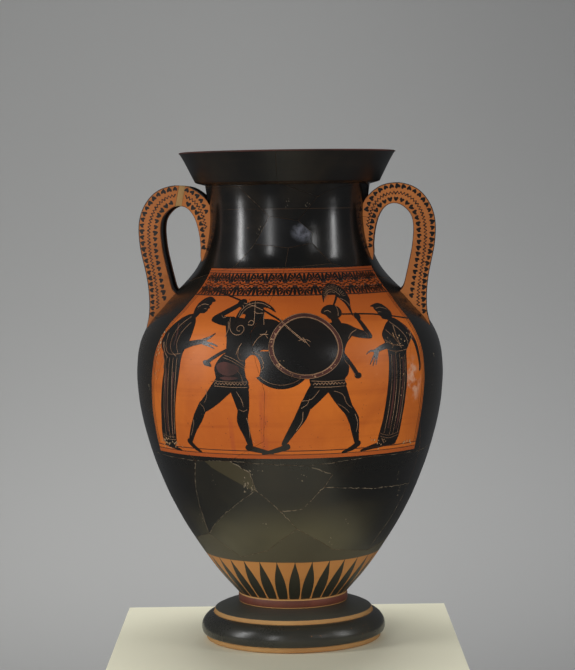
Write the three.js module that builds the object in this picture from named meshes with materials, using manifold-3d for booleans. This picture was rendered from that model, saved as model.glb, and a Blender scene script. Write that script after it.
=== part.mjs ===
import * as THREE from 'three';
import Module from 'manifold-3d';
import { mergeVertices } from 'three/addons/utils/BufferGeometryUtils.js';

// ---------------------------------------------------------------------------
// Driving dimensions, in millimetres. +Z is up, the painted front faces -Y.
// ---------------------------------------------------------------------------
const HEIGHT = 560;            // foot to lip
const BODY_BOTTOM = 54;        // underside of the vessel floor
const FLOOR_TOP = 63;          // inside of the vessel floor
const FOOT_TOP = 43.15;        // upper face of the two-degree foot
const LIP_OUTER_R = 124;
const LIP_INNER_R = 116.5;
const WALL_BELLY = 6.6;        // wall thickness through the belly
const WALL_BASE = 8.0;         // and close to the foot
const WALL_NECK = 6.8;         // and through the neck
const SEAM = 0.3;              // clear gap along every join and break
const TURNS = 48;              // facets round the axis
const TRIM = 0.03;             // slivers smaller than this are merged away

const HANDLE_HALF_WIDTH = 29;  // axis plane to the painted flange face, along Y
const FLANGE_THICK = 9;        // thickness of each flange, along Y
const WEB_RECESS = 4.5;        // how far the strap lies below the flange edges
const BREAK_TURN = 3.5;        // turn of the whole pattern of breaks about the axis, degrees
const MEND_WIDTH = 7;          // width of the plaster fill in the left handle

// Outer wall of the vessel, [radius, height], floor to lip.
const WALL = [
  [62.6, 54], [71.1, 63.5], [80.7, 74.5], [91.2, 88], [101.1, 102], [111, 117],
  [121.8, 134.2], [132.1, 152.9], [141.3, 171.6], [149.1, 190.3], [156.2, 208.9],
  [163.1, 231], [169.4, 255.3], [174.1, 283], [175.7, 308], [174.6, 327], [171.6, 342.8],
  [165.9, 357], [157, 371], [146.5, 382.8], [133.8, 397.5], [122, 408.7],
  [112.5, 419], [105, 429], [99, 441], [95.3, 454], [92.6, 469], [91.4, 486],
  [92.2, 506], [94.2, 522],
];
const LIP_OUTER = [[105.9, 525.4], [109.2, 532.4], [113.7, 541.4], [118.3, 550.4], [122.2, 557], [LIP_OUTER_R, 559.3], [123.4, HEIGHT]];
const LIP_INNER = [[LIP_INNER_R, HEIGHT], [112.6, 554], [106.4, 543.5], [97.5, 531.5], [88.9, 521]];

const FOOT = [
  [46, FOOT_TOP], [46, 38], [60, 31], [76, 15], [83.5, 0], [96.5, 0], [100.8, 2.2], [101.2, 6.5],
  [104.8, 7.6], [106.2, 12.5], [105.5, 18.5], [102.4, 24.8], [97, 29.2],
  [91, 31], [90.6, 34.4], [88.6, 36], [78.5, 40.2], [62, FOOT_TOP],
];
const FILLET = [
  [46, FOOT_TOP + SEAM], [61.4, FOOT_TOP + SEAM], [62.9, 44.8], [62.9, 52], [61.9, BODY_BOTTOM - SEAM], [46, BODY_BOTTOM - SEAM],
];

// ---------------------------------------------------------------------------
// Break lines, [degrees from the front towards +X, height].
// ---------------------------------------------------------------------------
const RING_BASE = [
  [-180, 112], [-150, 121], [-118, 107], [-84, 117], [-50, 133], [-32.8, 108], [-14, 118],
  [2.4, 144.6], [24, 117], [52, 110], [80, 121], [112, 107], [146, 118],
];
const RING_GROUND = [
  [-180, 229], [-150, 220], [-120, 232], [-90, 224], [-40.8, 221], [-24.5, 223], [6.7, 218],
  [32, 225], [63, 223], [98, 231], [140, 220],
];
const RING_SHOULDER = [
  [-180, 420], [-138, 409], [-106, 417], [-74, 415], [-36, 431], [-2.2, 430.5], [28, 434],
  [60, 417], [76, 415], [108, 418], [142, 410],
];
const RING_MOUTH = [
  [-180, 521], [-125, 526], [-80, 519], [-35, 520.5], [-6, 524], [2.5, 519], [21, 508],
  [31.6, 516], [60, 524], [92, 519], [120, 525], [150, 520],
];

// Breaks that run between two rings, each from its lower to its upper end.
const CRACK_A = [[-50, 133], [-45.8, 186.6], [-40.8, 221]];
const CRACK_B = [[-15.2, 190], [-16.7, 210], [-24.5, 223]];
const CRACK_C = [[-50, 133], [-28.3, 168], [-15.2, 190]];
const CRACK_D = [[2.4, 144.6], [-5.3, 166], [-8.7, 175.4], [-15.2, 190]];
const CRACK_E = [[-5.3, 166], [4.6, 168], [8.3, 178], [13.5, 193]];
const CRACK_F = [[13.5, 193], [16.6, 207], [6.7, 218]];
const CRACK_G = [[13.5, 193], [38.9, 187], [63.2, 185.5]];
const CRACK_H = [[52, 110], [60, 150], [63.2, 185.5]];
const CRACK_I = [[63.2, 185.5], [63, 223]];
const CRACK_J = [[112, 107], [103, 160], [98, 231]];
const CRACK_K = [[-118, 107], [-104, 165], [-90, 224]];
const CRACK_L = [[180, 112], [171, 170], [180, 229]];

const CRACK_M = [[-40.8, 221], [-52, 246], [-58, 300], [-50, 356], [-36, 431]];
const CRACK_N = [[-24.5, 223], [-10, 246], [-9, 300], [-15, 362], [-2.2, 430.5]];
const CRACK_O = [[63, 223], [56, 268], [49, 330], [60, 417]];
const CRACK_P = [[140, 220], [133, 300], [142, 410]];
const CRACK_Q = [[-150, 220], [-141, 310], [-138, 409]];

const PATCH = [[0, 452], [16, 457], [17, 468], [7, 482], [-13, 487], [-23, 457]];
const CRACK_R = [[-36, 431], PATCH[5], PATCH[4], [-35, 520.5]];
const CRACK_S = [[-2.2, 430.5], PATCH[0]];
const CRACK_T = [PATCH[3], [21, 508]];
const CRACK_V = [[28, 434], PATCH[1]];
const CRACK_W = [[142, 410], [133, 460], [120, 525]];
const CRACK_X = [[-138, 409], [-131, 470], [-125, 526]];

// ---------------------------------------------------------------------------
// Handle outline seen from the front, [distance from the axis, height].
// ---------------------------------------------------------------------------
const HANDLE_OUTER = [
  [78, 505], [89.5, 505.5], [97, 513], [109, 520.5], [124, 523], [136, 521.3], [146, 517.3], [154.5, 510.5],
  [161.5, 501], [166.3, 490], [168.8, 477], [168.7, 463], [166.8, 448], [163.5, 434], [160.6, 420],
  [158.7, 406], [157.9, 390], [158.7, 375], [161.8, 363], [165.5, 352], [150, 338],
];
const HANDLE_INNER = [
  [116, 380], [127.5, 401], [131.4, 406], [135.1, 420], [138.3, 434], [141.2, 448], [143, 463], [143.3, 475],
  [141.5, 484.5], [137, 491.5], [130, 497.3], [122, 499.5], [113.5, 497], [107, 490], [102.6, 480],
  [99.6, 467], [98.2, 453], [98.6, 443], [97, 432], [84, 432],
];

// ---------------------------------------------------------------------------
// Helpers
// ---------------------------------------------------------------------------
const wasm = await Module();
wasm.setup();

const clay = { color: 0xb4582a, roughness: 0.55, metalness: 0 };
const gloss = { color: 0x171513, roughness: 0.25, metalness: 0 };
const plaster = { color: 0xb39a72, roughness: 0.8, metalness: 0 };
const red = { color: 0x5c1f17, roughness: 0.5, metalness: 0 };

/** Solid of revolution about +Z from a closed [radius, height] profile. */
function lathe(profile, closed = true) {
  const pts = profile.map(([r, z]) => new THREE.Vector2(r, z));
  if (closed) pts.push(pts[0].clone());
  const g = new THREE.LatheGeometry(pts, TURNS);
  g.rotateX(Math.PI / 2);
  return g;
}

/** Position-only, welded copy of a geometry as a manifold solid. */
function solid(geometry) {
  const bare = new THREE.BufferGeometry();
  bare.setAttribute('position', geometry.getAttribute('position').clone());
  if (geometry.index) bare.setIndex(geometry.index.clone());
  const g = mergeVertices(bare, 1e-4);
  const idx = Array.from(g.index.array);
  const keep = [];
  for (let i = 0; i < idx.length; i += 3) {
    const [a, b, c] = [idx[i], idx[i + 1], idx[i + 2]];
    if (a !== b && b !== c && a !== c) keep.push(a, b, c);
  }
  const make = (tri) => new wasm.Manifold(new wasm.Mesh({
    numProp: 3, vertProperties: new Float32Array(g.getAttribute('position').array), triVerts: new Uint32Array(tri),
  }));
  let m = make(keep);
  if (m.volume() < 0) {
    const flip = [];
    for (let i = 0; i < keep.length; i += 3) flip.push(keep[i], keep[i + 2], keep[i + 1]);
    m = make(flip);
  }
  return m;
}

/** Named mesh from a manifold solid. */
function piece(name, m, look) {
  const raw = m.asOriginal().simplify(TRIM).getMesh();
  const g = new THREE.BufferGeometry();
  g.setAttribute('position', new THREE.BufferAttribute(new Float32Array(raw.vertProperties), 3));
  g.setIndex(new THREE.BufferAttribute(new Uint32Array(raw.triVerts), 1));
  g.computeVertexNormals();
  const mesh = new THREE.Mesh(g, new THREE.MeshStandardMaterial(look));
  mesh.name = name;
  return mesh;
}

/** Outer wall radius at a height. */
function wallRadius(z) {
  const rows = [...WALL, ...LIP_OUTER];
  if (z <= rows[0][1]) return rows[0][0];
  for (let i = 1; i < rows.length; i++) {
    if (z <= rows[i][1]) {
      const t = (z - rows[i - 1][1]) / (rows[i][1] - rows[i - 1][1]);
      return rows[i - 1][0] + t * (rows[i][0] - rows[i - 1][0]);
    }
  }
  return rows[rows.length - 1][0];
}

/** Wall thickness at a height. */
function wallThickness(z) {
  if (z < 150) return WALL_BASE + (WALL_BELLY - WALL_BASE) * (z - BODY_BOTTOM) / (150 - BODY_BOTTOM);
  if (z < 400) return WALL_BELLY;
  return WALL_BELLY + (WALL_NECK - WALL_BELLY) * Math.min(1, (z - 400) / 60);
}

/** Inside face of the wall: the outer face moved in along its normal. */
function innerWall() {
  const rows = [];
  for (let i = 2; i < WALL.length - 1; i += 2) {
    const [r0, z0] = WALL[i - 1], [r1, z1] = WALL[i + 1], [r, z] = WALL[i];
    const l = Math.hypot(r1 - r0, z1 - z0), t = wallThickness(z);
    const p = [r - t * (z1 - z0) / l, z + t * (r1 - r0) / l];
    if (p[1] > FLOOR_TOP + 6 && p[1] < 515) rows.push(p);
  }
  return rows;
}

const at = (deg, r, z) => {
  const a = (deg + BREAK_TURN) * Math.PI / 180;
  return [r * Math.sin(a), -r * Math.cos(a), z];
};
const R_NEAR = 40, R_FAR = 420;

/** Radii at which a cutting face has its corners: well inside, just inside, just outside and well outside the wall. */
const layers = (z) => [R_NEAR, wallRadius(z) - 16, wallRadius(z) + 8, R_FAR];

/** Split every edge so that it stays straight in angle and height. */
function refine(poly, loop = true) {
  const out = [];
  const n = loop ? poly.length : poly.length - 1;
  for (let i = 0; i < n; i++) {
    const a = poly[i], b = poly[(i + 1) % poly.length];
    const steps = Math.max(1, Math.ceil(Math.abs(b[0] - a[0]) / 9 - 1e-9));
    for (let k = 0; k < steps; k++) out.push([a[0] + (b[0] - a[0]) * k / steps, a[1] + (b[1] - a[1]) * k / steps]);
  }
  if (!loop) out.push(poly[poly.length - 1]);
  return out;
}

/** Move a counter-clockwise (angle, height) outline inwards by a distance. */
function inset(poly, gap, loop = true) {
  const n = poly.length;
  return poly.map((p, i) => {
    const k = wallRadius(p[1]) * Math.PI / 180;
    const unit = (a, b) => {
      const d = [(b[0] - a[0]) * k, b[1] - a[1]], l = Math.hypot(...d);
      return [d[0] / l, d[1] / l];
    };
    let e1, e2;
    if (loop || (i > 0 && i < n - 1)) {
      e1 = unit(poly[(i + n - 1) % n], p);
      e2 = unit(p, poly[(i + 1) % n]);
    } else {
      const wrap = i === 0 ? [poly[n - 2][0] + 360, poly[n - 2][1]] : [poly[1][0] - 360, poly[1][1]];
      e1 = i === 0 ? unit(wrap, p) : unit(poly[n - 2], p);
      e2 = i === 0 ? unit(p, poly[1]) : unit(p, wrap);
    }
    const s = 1 - e1[1] * -e2[1] + e1[0] * e2[0];
    const m = [-(e1[1] + e2[1]) * gap / s, (e1[0] + e2[0]) * gap / s];
    return [p[0] + m[0] / k, p[1] + m[1]];
  });
}

/** Triangles of the radial wall over the edge a to b, through corner rows pa and pb. */
function wall(a, b, pa, pb, out) {
  const low = a[0] < b[0] - 1e-6 || (Math.abs(a[0] - b[0]) <= 1e-6 && a[1] < b[1]);
  for (let k = 0; k + 1 < pa.length; k++) {
    if (low) out.push(pa[k + 1], pa[k], pb[k + 1], pa[k], pb[k], pb[k + 1]);
    else out.push(pa[k + 1], pa[k], pb[k], pa[k + 1], pb[k], pb[k + 1]);
  }
}

/** Row of corners along one radius. */
function corners(verts, t, z, row) {
  const ids = row.map((r) => {
    verts.push(...at(t, r, z));
    return verts.length / 3 - 1;
  });
  return ids;
}

/** Radial wedge over a closed (angle, height) outline. */
function wedge(outline) {
  const base = refine(outline);
  const poly = inset(base, SEAM / 2);
  const verts = [], tri = [];
  const ids = poly.map(([t, z], i) => corners(verts, t, z, layers(base[i][1])));
  const flat = poly.map(([t, z]) => new THREE.Vector2(t, z));
  for (const [a, b, c] of THREE.ShapeUtils.triangulateShape(flat, [])) {
    tri.push(ids[a][3], ids[b][3], ids[c][3], ids[a][0], ids[c][0], ids[b][0]);
  }
  for (let i = 0; i < poly.length; i++) {
    const j = (i + 1) % poly.length;
    wall(base[i], base[j], ids[i], ids[j], tri);
  }
  return new wasm.Manifold(new wasm.Mesh({
    numProp: 3, vertProperties: new Float32Array(verts), triVerts: new Uint32Array(tri),
  }));
}

/** Everything below a ring of break points, down past the floor. */
function below(ring) {
  const closed = [...ring, [ring[0][0] + 360, ring[0][1]]];
  const base = refine(closed, false).reverse();
  const top = inset(base, SEAM / 2, false);
  const n = base.length - 1;
  const verts = [], tri = [];
  const high = top.slice(0, n).map(([t, z], i) => corners(verts, t, z, layers(base[i][1])));
  const low = top.slice(0, n).map(([t]) => corners(verts, t, 20, [R_NEAR, R_FAR]));
  for (let i = 0; i < n; i++) {
    const j = (i + 1) % n;
    const [p, q, pl, ql] = [high[i], high[j], low[i], low[j]];
    wall(base[i], base[i + 1], p, q, tri);
    tri.push(pl[1], p[3], q[3], pl[1], q[3], ql[1]);
    tri.push(p[0], pl[0], ql[0], p[0], ql[0], q[0]);
    tri.push(pl[0], pl[1], ql[1], pl[0], ql[1], ql[0]);
  }
  return new wasm.Manifold(new wasm.Mesh({
    numProp: 3, vertProperties: new Float32Array(verts), triVerts: new Uint32Array(tri),
  }));
}

/** Ring points between two angles, both of them ring points. */
function span(ring, from, to) {
  const all = [];
  for (const turn of [-360, 0, 360]) for (const [t, z] of ring) all.push([t + turn, z]);
  return all.filter(([t]) => t >= from - 1e-6 && t <= to + 1e-6).sort((a, b) => a[0] - b[0]);
}
const up = (crack) => crack.slice(1, -1);
const down = (crack) => crack.slice(1, -1).reverse();
const shift = (crack, turn) => crack.map(([t, z]) => [t + turn, z]);

/** Outline of a sherd between two rings and two cracks. */
function between(low, high, left, right) {
  const a = span(low, left[0][0], right[0][0]);
  const b = span(high, left[left.length - 1][0], right[right.length - 1][0]).reverse();
  return [...a, ...up(right), ...b, ...down(left)];
}

// ---------------------------------------------------------------------------
// Vessel, cut into its sherds
// ---------------------------------------------------------------------------
const vesselProfile = [[0, BODY_BOTTOM], ...WALL, ...LIP_OUTER, ...LIP_INNER, ...innerWall().reverse(), [58, FLOOR_TOP + 2.2], [30, FLOOR_TOP + 0.4], [0, FLOOR_TOP]];
const vessel = solid(lathe(vesselProfile, false));
const RIM = [[-180, 600], [-125, 600], [-6, 600], [120, 600]];

const sherds = {
  belly_left: between(RING_BASE, RING_GROUND, CRACK_K, [...CRACK_A]),
  belly_fill: [...CRACK_C, ...up(CRACK_B), CRACK_B[2], [-40.8, 221], CRACK_A[1]],
  belly_lower: [...span(RING_BASE, -50, 2.4), ...CRACK_D.slice(1), ...down(CRACK_C)],
  belly_centre: [CRACK_E[0], ...CRACK_E.slice(1), ...CRACK_F.slice(1), CRACK_B[2], ...down(CRACK_B), CRACK_D[3], CRACK_D[2]],
  belly_right: [CRACK_F[0], ...CRACK_G.slice(1), ...span(RING_GROUND, 6.7, 63).reverse(), ...down(CRACK_F)],
  belly_right_lower: [...span(RING_BASE, 2.4, 52), ...CRACK_H.slice(1), ...down(CRACK_G), ...CRACK_E.slice().reverse()],
  belly_side: [...span(RING_BASE, 52, 112), ...up(CRACK_J), ...span(RING_GROUND, 63, 98).reverse(), CRACK_I[0], ...down(CRACK_H)],
  belly_back_right: between(RING_BASE, RING_GROUND, CRACK_J, CRACK_L),
  belly_back_left: between(RING_BASE, RING_GROUND, shift(CRACK_L, -360), CRACK_K),
  panel_left: between(RING_GROUND, RING_SHOULDER, CRACK_Q, CRACK_M),
  panel_warrior: between(RING_GROUND, RING_SHOULDER, CRACK_M, CRACK_N),
  panel_shield: between(RING_GROUND, RING_SHOULDER, CRACK_N, CRACK_O),
  panel_right: between(RING_GROUND, RING_SHOULDER, CRACK_O, CRACK_P),
  panel_back: between(RING_GROUND, RING_SHOULDER, CRACK_P, shift(CRACK_Q, 360)),
  neck_left: between(RING_SHOULDER, RING_MOUTH, CRACK_X, CRACK_R),
  neck_low_left: [...span(RING_SHOULDER, -36, -2.2), CRACK_S[1], PATCH[5]],
  neck_low_right: [...span(RING_SHOULDER, -2.2, 28), PATCH[1], PATCH[0]],
  neck_patch: PATCH,
  neck_front: [PATCH[4], PATCH[3], ...span(RING_MOUTH, -35, 21).reverse()],
  neck_right: [...span(RING_SHOULDER, 28, 142), ...up(CRACK_W), ...span(RING_MOUTH, 21, 120).reverse(), PATCH[3], PATCH[2], PATCH[1]],
  neck_back: between(RING_SHOULDER, RING_MOUTH, CRACK_W, shift(CRACK_X, 360)),
  mouth_left: between(RING_MOUTH, RIM, [[-125, 526], [-125, 600]], [[-6, 524], [-6, 600]]),
  mouth_right: between(RING_MOUTH, RIM, [[-6, 524], [-6, 600]], [[120, 525], [120, 600]]),
  mouth_back: between(RING_MOUTH, RIM, [[120, 525], [120, 600]], [[235, 526], [235, 600]]),
};

const part = new THREE.Group();
part.name = 'amphora';

part.add(piece('foot', solid(lathe(FOOT)), gloss));
part.add(piece('foot_fillet', solid(lathe(FILLET)), red));

const core = solid(new THREE.CylinderGeometry(R_NEAR + 1, R_NEAR + 1, 80, TURNS).rotateX(Math.PI / 2).translate(0, 0, 60));
part.add(piece('base_ring', vessel.intersect(below(RING_BASE).add(core)), clay));

for (const [name, outline] of Object.entries(sherds)) {
  const look = name === 'neck_patch' || name === 'belly_fill' ? plaster : name.startsWith('panel') ? clay : gloss;
  part.add(piece(name, vessel.intersect(wedge(outline)), look));
}

// ---------------------------------------------------------------------------
// Flanged handles
// ---------------------------------------------------------------------------
/** Closed outline moved inwards by a distance. */
function shrink(outline, d) {
  const n = outline.length;
  let area = 0;
  for (let i = 0; i < n; i++) {
    const [a, b] = [outline[i], outline[(i + 1) % n]];
    area += a[0] * b[1] - b[0] * a[1];
  }
  const s = Math.sign(area);
  return outline.map((p, i) => {
    const a = outline[(i + n - 1) % n], b = outline[(i + 1) % n];
    const u = [p[0] - a[0], p[1] - a[1]], v = [b[0] - p[0], b[1] - p[1]];
    const lu = Math.hypot(...u), lv = Math.hypot(...v);
    const m = [-(u[1] / lu + v[1] / lv), u[0] / lu + v[0] / lv];
    const k = 1 + (u[0] * v[0] + u[1] * v[1]) / (lu * lv);
    return [p[0] + s * d * m[0] / k, p[1] + s * d * m[1] / k];
  });
}

/** Plate with an (x, z) outline between two Y positions. */
function plate(outline, y0, y1) {
  const shape = new THREE.Shape(outline.map(([x, z]) => new THREE.Vector2(x, z)));
  const g = new THREE.ExtrudeGeometry(shape, { depth: y1 - y0, bevelEnabled: false, steps: 1 });
  g.rotateX(Math.PI / 2);
  g.translate(0, y1, 0);
  return solid(g);
}

const handleOutline = [...HANDLE_OUTER, ...HANDLE_INNER];
const webOutline = shrink(handleOutline, WEB_RECESS);
webOutline[0] = [78, 498];
const reach = HANDLE_HALF_WIDTH, inner = HANDLE_HALF_WIDTH - FLANGE_THICK;
const envelopeProfile = [[0, 300], ...WALL.filter(([, z]) => z > 320 && z < 515).map(([r, z], i, rows) => {
  const [a, b] = [rows[Math.max(0, i - 1)], rows[Math.min(rows.length - 1, i + 1)]];
  const l = Math.hypot(b[0] - a[0], b[1] - a[1]);
  return [r + SEAM * (b[1] - a[1]) / l, z - SEAM * (b[0] - a[0]) / l];
})];
const lastR = envelopeProfile[envelopeProfile.length - 1][0];
envelopeProfile.splice(1, 0, [envelopeProfile[1][0], 300]);
envelopeProfile.push([lastR + 0.8, 520], [0, 520]);
const envelope = solid(lathe(envelopeProfile, false));

function handle() {
  const body = plate(handleOutline, -reach, -inner)
    .add(plate(webOutline, -inner - 0.5, inner + 0.5))
    .add(plate(handleOutline, inner, reach));
  const cut = body.subtract(envelope);
  const parts = cut.decompose();
  return parts.sort((a, b) => b.volume() - a.volume())[0];
}

const rightHandle = handle();
const leftHandle = rightHandle.mirror([1, 0, 0]);

/** Slab across a handle limb: its middle, its tilt about Y in degrees and its thickness. */
function slab(x, z, tilt, thick) {
  const g = new THREE.BoxGeometry(thick, 80, 46);
  g.rotateY(tilt * Math.PI / 180);
  g.translate(x, 0, z);
  return solid(g);
}

// Right handle: broken through the root that runs down the neck.
const [rightMain, rightRoot] = rightHandle.subtract(slab(95, 484, 97, SEAM)).decompose().sort((a, b) => b.volume() - a.volume());
part.add(piece('handle_right', rightMain, gloss));
part.add(piece('handle_right_root', rightRoot, gloss));

// Left handle: a plaster fill across the top of the arch.
const [leftMain, leftRoot] = leftHandle.subtract(slab(-120, 512, 12, MEND_WIDTH + SEAM)).decompose().sort((a, b) => b.volume() - a.volume());
part.add(piece('handle_left', leftMain, gloss));
part.add(piece('handle_left_fill', leftHandle.intersect(slab(-120, 512, 12, MEND_WIDTH - SEAM)), plaster));
part.add(piece('handle_left_root', leftRoot, gloss));

export default part;
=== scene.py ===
"""A black-figure belly amphora mended from fragments, standing on a pale floor.

Helpers work in millimetres and degrees and vertices are written in metres.
Angles run from the front (-Y) towards +X; heights run up from the standing ring.
"""

import logging
import math
import random
from dataclasses import dataclass, field
from enum import Enum
from typing import Callable, Iterable, Sequence

import bmesh
import bpy
from mathutils import Matrix, Vector, noise

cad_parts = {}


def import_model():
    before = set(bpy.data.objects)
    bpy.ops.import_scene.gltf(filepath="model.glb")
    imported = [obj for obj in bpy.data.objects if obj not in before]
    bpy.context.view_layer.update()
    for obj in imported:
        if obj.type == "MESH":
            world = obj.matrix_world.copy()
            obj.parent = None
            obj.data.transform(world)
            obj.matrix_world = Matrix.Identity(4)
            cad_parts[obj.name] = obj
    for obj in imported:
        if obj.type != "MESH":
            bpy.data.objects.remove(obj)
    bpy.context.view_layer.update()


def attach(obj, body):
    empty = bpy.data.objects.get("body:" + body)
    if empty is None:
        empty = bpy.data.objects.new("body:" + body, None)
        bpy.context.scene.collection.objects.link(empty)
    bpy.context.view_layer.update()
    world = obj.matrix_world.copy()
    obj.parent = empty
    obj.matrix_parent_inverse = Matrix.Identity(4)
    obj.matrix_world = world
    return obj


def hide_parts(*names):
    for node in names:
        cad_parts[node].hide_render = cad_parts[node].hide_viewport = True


log = logging.getLogger("amphora")

Point = tuple[float, float]
Outline = list[Point]

MM = 0.001
FLAT_PER_DEG = 3.0  # width of one degree in a flat drawing, mm
UNROLL_RADIUS = 170.0  # radius at which figures are drawn, mm
BREAK_TURN = 3.5  # turn of the breaks and the painted scene about the axis, degrees
SEAM = 0.3  # width of a glued break, mm

# Outer wall, (radius, height), foot to neck, and the mouth above it.
WALL = [
    (62.6, 54), (71.1, 63.5), (80.7, 74.5), (91.2, 88), (101.1, 102), (111, 117), (121.8, 134.2), (132.1, 152.9),
    (141.3, 171.6), (149.1, 190.3), (156.2, 208.9), (163.1, 231), (169.4, 255.3), (174.1, 283), (175.7, 308),
    (174.6, 327), (171.6, 342.8), (165.9, 357), (157, 371), (146.5, 382.8), (133.8, 397.5), (122, 408.7),
    (112.5, 419), (105, 429), (99, 441), (95.3, 454), (92.6, 469), (91.4, 486), (92.2, 506), (94.2, 522),
]
MOUTH = [(94.2, 522), (100, 523.6), (105.2, 525), (105.9, 525.8), (109.2, 532.4), (113.7, 541.4), (118.3, 550.4),
         (122.2, 557), (123.9, 559.4)]
MOUTH_INNER = [(86.3, 515), (89.4, 521.4), (92.6, 525.2), (98.2, 532.4), (105.2, 541.8), (110.8, 550.8),
               (115.2, 557.6), (116.5, 559.6)]
FLOOR_TOP = 64.0
NECK_TOP = 522.0  # where the wall curve ends and the mouth begins
MOUTH_TOP = 559.4
EDGE_ROUNDING = 559.0  # edges above this height belong to the lip

RING_BASE = [(-180, 112), (-150, 121), (-118, 107), (-84, 117), (-50, 133), (-32.8, 108), (-14, 118), (2.4, 144.6),
             (24, 117), (52, 110), (80, 121), (112, 107), (146, 118)]
RING_GROUND = [(-180, 229), (-150, 220), (-120, 232), (-90, 224), (-40.8, 221), (-24.5, 223), (6.7, 218), (32, 225),
               (63, 223), (98, 231), (140, 220)]
RING_SHOULDER = [(-180, 420), (-138, 409), (-106, 417), (-74, 415), (-36, 431), (-2.2, 430.5), (28, 434), (60, 417),
                 (76, 415), (108, 418), (142, 410)]
RING_MOUTH = [(-180, 521), (-125, 526), (-80, 519), (-35, 520.5), (-6, 524), (2.5, 519), (21, 508), (31.6, 516),
              (60, 524), (92, 519), (120, 525), (150, 520)]
RIM = [(-180, 600), (-125, 600), (-6, 600), (120, 600)]
PATCH = [(0, 452), (16, 457), (17, 468), (7, 482), (-13, 487), (-23, 457)]
CRACKS: dict[str, Outline] = {
    "A": [(-50, 133), (-45.8, 186.6), (-40.8, 221)],
    "B": [(-15.2, 190), (-16.7, 210), (-24.5, 223)],
    "C": [(-50, 133), (-28.3, 168), (-15.2, 190)],
    "D": [(2.4, 144.6), (-5.3, 166), (-8.7, 175.4), (-15.2, 190)],
    "E": [(-5.3, 166), (4.6, 168), (8.3, 178), (13.5, 193)],
    "F": [(13.5, 193), (16.6, 207), (6.7, 218)],
    "G": [(13.5, 193), (38.9, 187), (63.2, 185.5)],
    "H": [(52, 110), (60, 150), (63.2, 185.5)],
    "J": [(112, 107), (103, 160), (98, 231)],
    "K": [(-118, 107), (-104, 165), (-90, 224)],
    "L": [(180, 112), (171, 170), (180, 229)],
    "M": [(-40.8, 221), (-52, 246), (-58, 300), (-50, 356), (-36, 431)],
    "N": [(-24.5, 223), (-10, 246), (-9, 300), (-15, 362), (-2.2, 430.5)],
    "O": [(63, 223), (56, 268), (49, 330), (60, 417)],
    "P": [(140, 220), (133, 300), (142, 410)],
    "Q": [(-150, 220), (-141, 310), (-138, 409)],
    "R": [(-36, 431), (-23, 457), (-13, 487), (-35, 520.5)],
    "W": [(142, 410), (133, 460), (120, 525)],
    "X": [(-138, 409), (-131, 470), (-125, 526)],
}


class Slot(Enum):
    """Finish slots shared with the part's record."""

    GLOSS = "black_gloss"
    CLAY = "painted_clay"
    RED = "red_band"
    FILL = "fill"


# --------------------------------------------------------------------------------------
# Geometry helpers
# --------------------------------------------------------------------------------------
class Curve:
    """Smooth monotone curve through points over a rising parameter."""

    def __init__(self, xs: Sequence[float], ys: Sequence[float]) -> None:
        """Args:
            xs: Rising parameter values.
            ys: Values at them.
        """
        self.xs, self.ys = list(xs), list(ys)
        n = len(xs)
        d = [(ys[i + 1] - ys[i]) / (xs[i + 1] - xs[i]) for i in range(n - 1)]
        self.m = [d[0]] + [0.0] * (n - 2) + [d[-1]]
        for i in range(1, n - 1):
            if d[i - 1] * d[i] > 0:
                h0, h1 = xs[i] - xs[i - 1], xs[i + 1] - xs[i]
                w0, w1 = 2 * h1 + h0, h1 + 2 * h0
                self.m[i] = (w0 + w1) / (w0 / d[i - 1] + w1 / d[i])

    def __call__(self, x: float) -> float:
        """Args:
            x: Parameter.

        Returns:
            The value there, held at the ends.
        """
        xs, ys = self.xs, self.ys
        if x <= xs[0]:
            return ys[0]
        if x >= xs[-1]:
            return ys[-1]
        i = max(k for k in range(len(xs) - 1) if xs[k] <= x)
        h = xs[i + 1] - xs[i]
        t = (x - xs[i]) / h
        return (
            ys[i] * (2 * t**3 - 3 * t**2 + 1)
            + h * self.m[i] * (t**3 - 2 * t**2 + t)
            + ys[i + 1] * (-2 * t**3 + 3 * t**2)
            + h * self.m[i + 1] * (t**3 - t**2)
        )


def along(rows: Sequence[Point], x: float) -> float:
    """Straight-line value between rows.

    Args:
        rows: (parameter, value) pairs in rising order.
        x: Parameter.

    Returns:
        The value, held at the ends.
    """
    if x <= rows[0][0]:
        return rows[0][1]
    for (x0, y0), (x1, y1) in zip(rows, rows[1:]):
        if x <= x1:
            return y0 + (y1 - y0) * (x - x0) / (x1 - x0)
    return rows[-1][1]


def smooth(points: Sequence[Point], steps: int = 5, closed: bool = True) -> Outline:
    """Rounded curve through points.

    Args:
        points: Corner points.
        steps: New points per corner.
        closed: Whether the curve joins up.

    Returns:
        The denser outline.
    """
    n = len(points)
    out: Outline = []
    for i in range(n if closed else n - 1):
        if closed:
            p = [points[(i + k - 1) % n] for k in range(4)]
        else:
            p = [points[max(0, min(n - 1, i + k - 1))] for k in range(4)]
        for s in range(steps):
            t = s / steps
            out.append(tuple(
                0.5 * (2 * p[1][k] + (p[2][k] - p[0][k]) * t
                       + (2 * p[0][k] - 5 * p[1][k] + 4 * p[2][k] - p[3][k]) * t * t
                       + (3 * p[1][k] - p[0][k] - 3 * p[2][k] + p[3][k]) * t**3) for k in range(2)))
    if not closed:
        out.append(tuple(points[-1][:2]))
    return out


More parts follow.
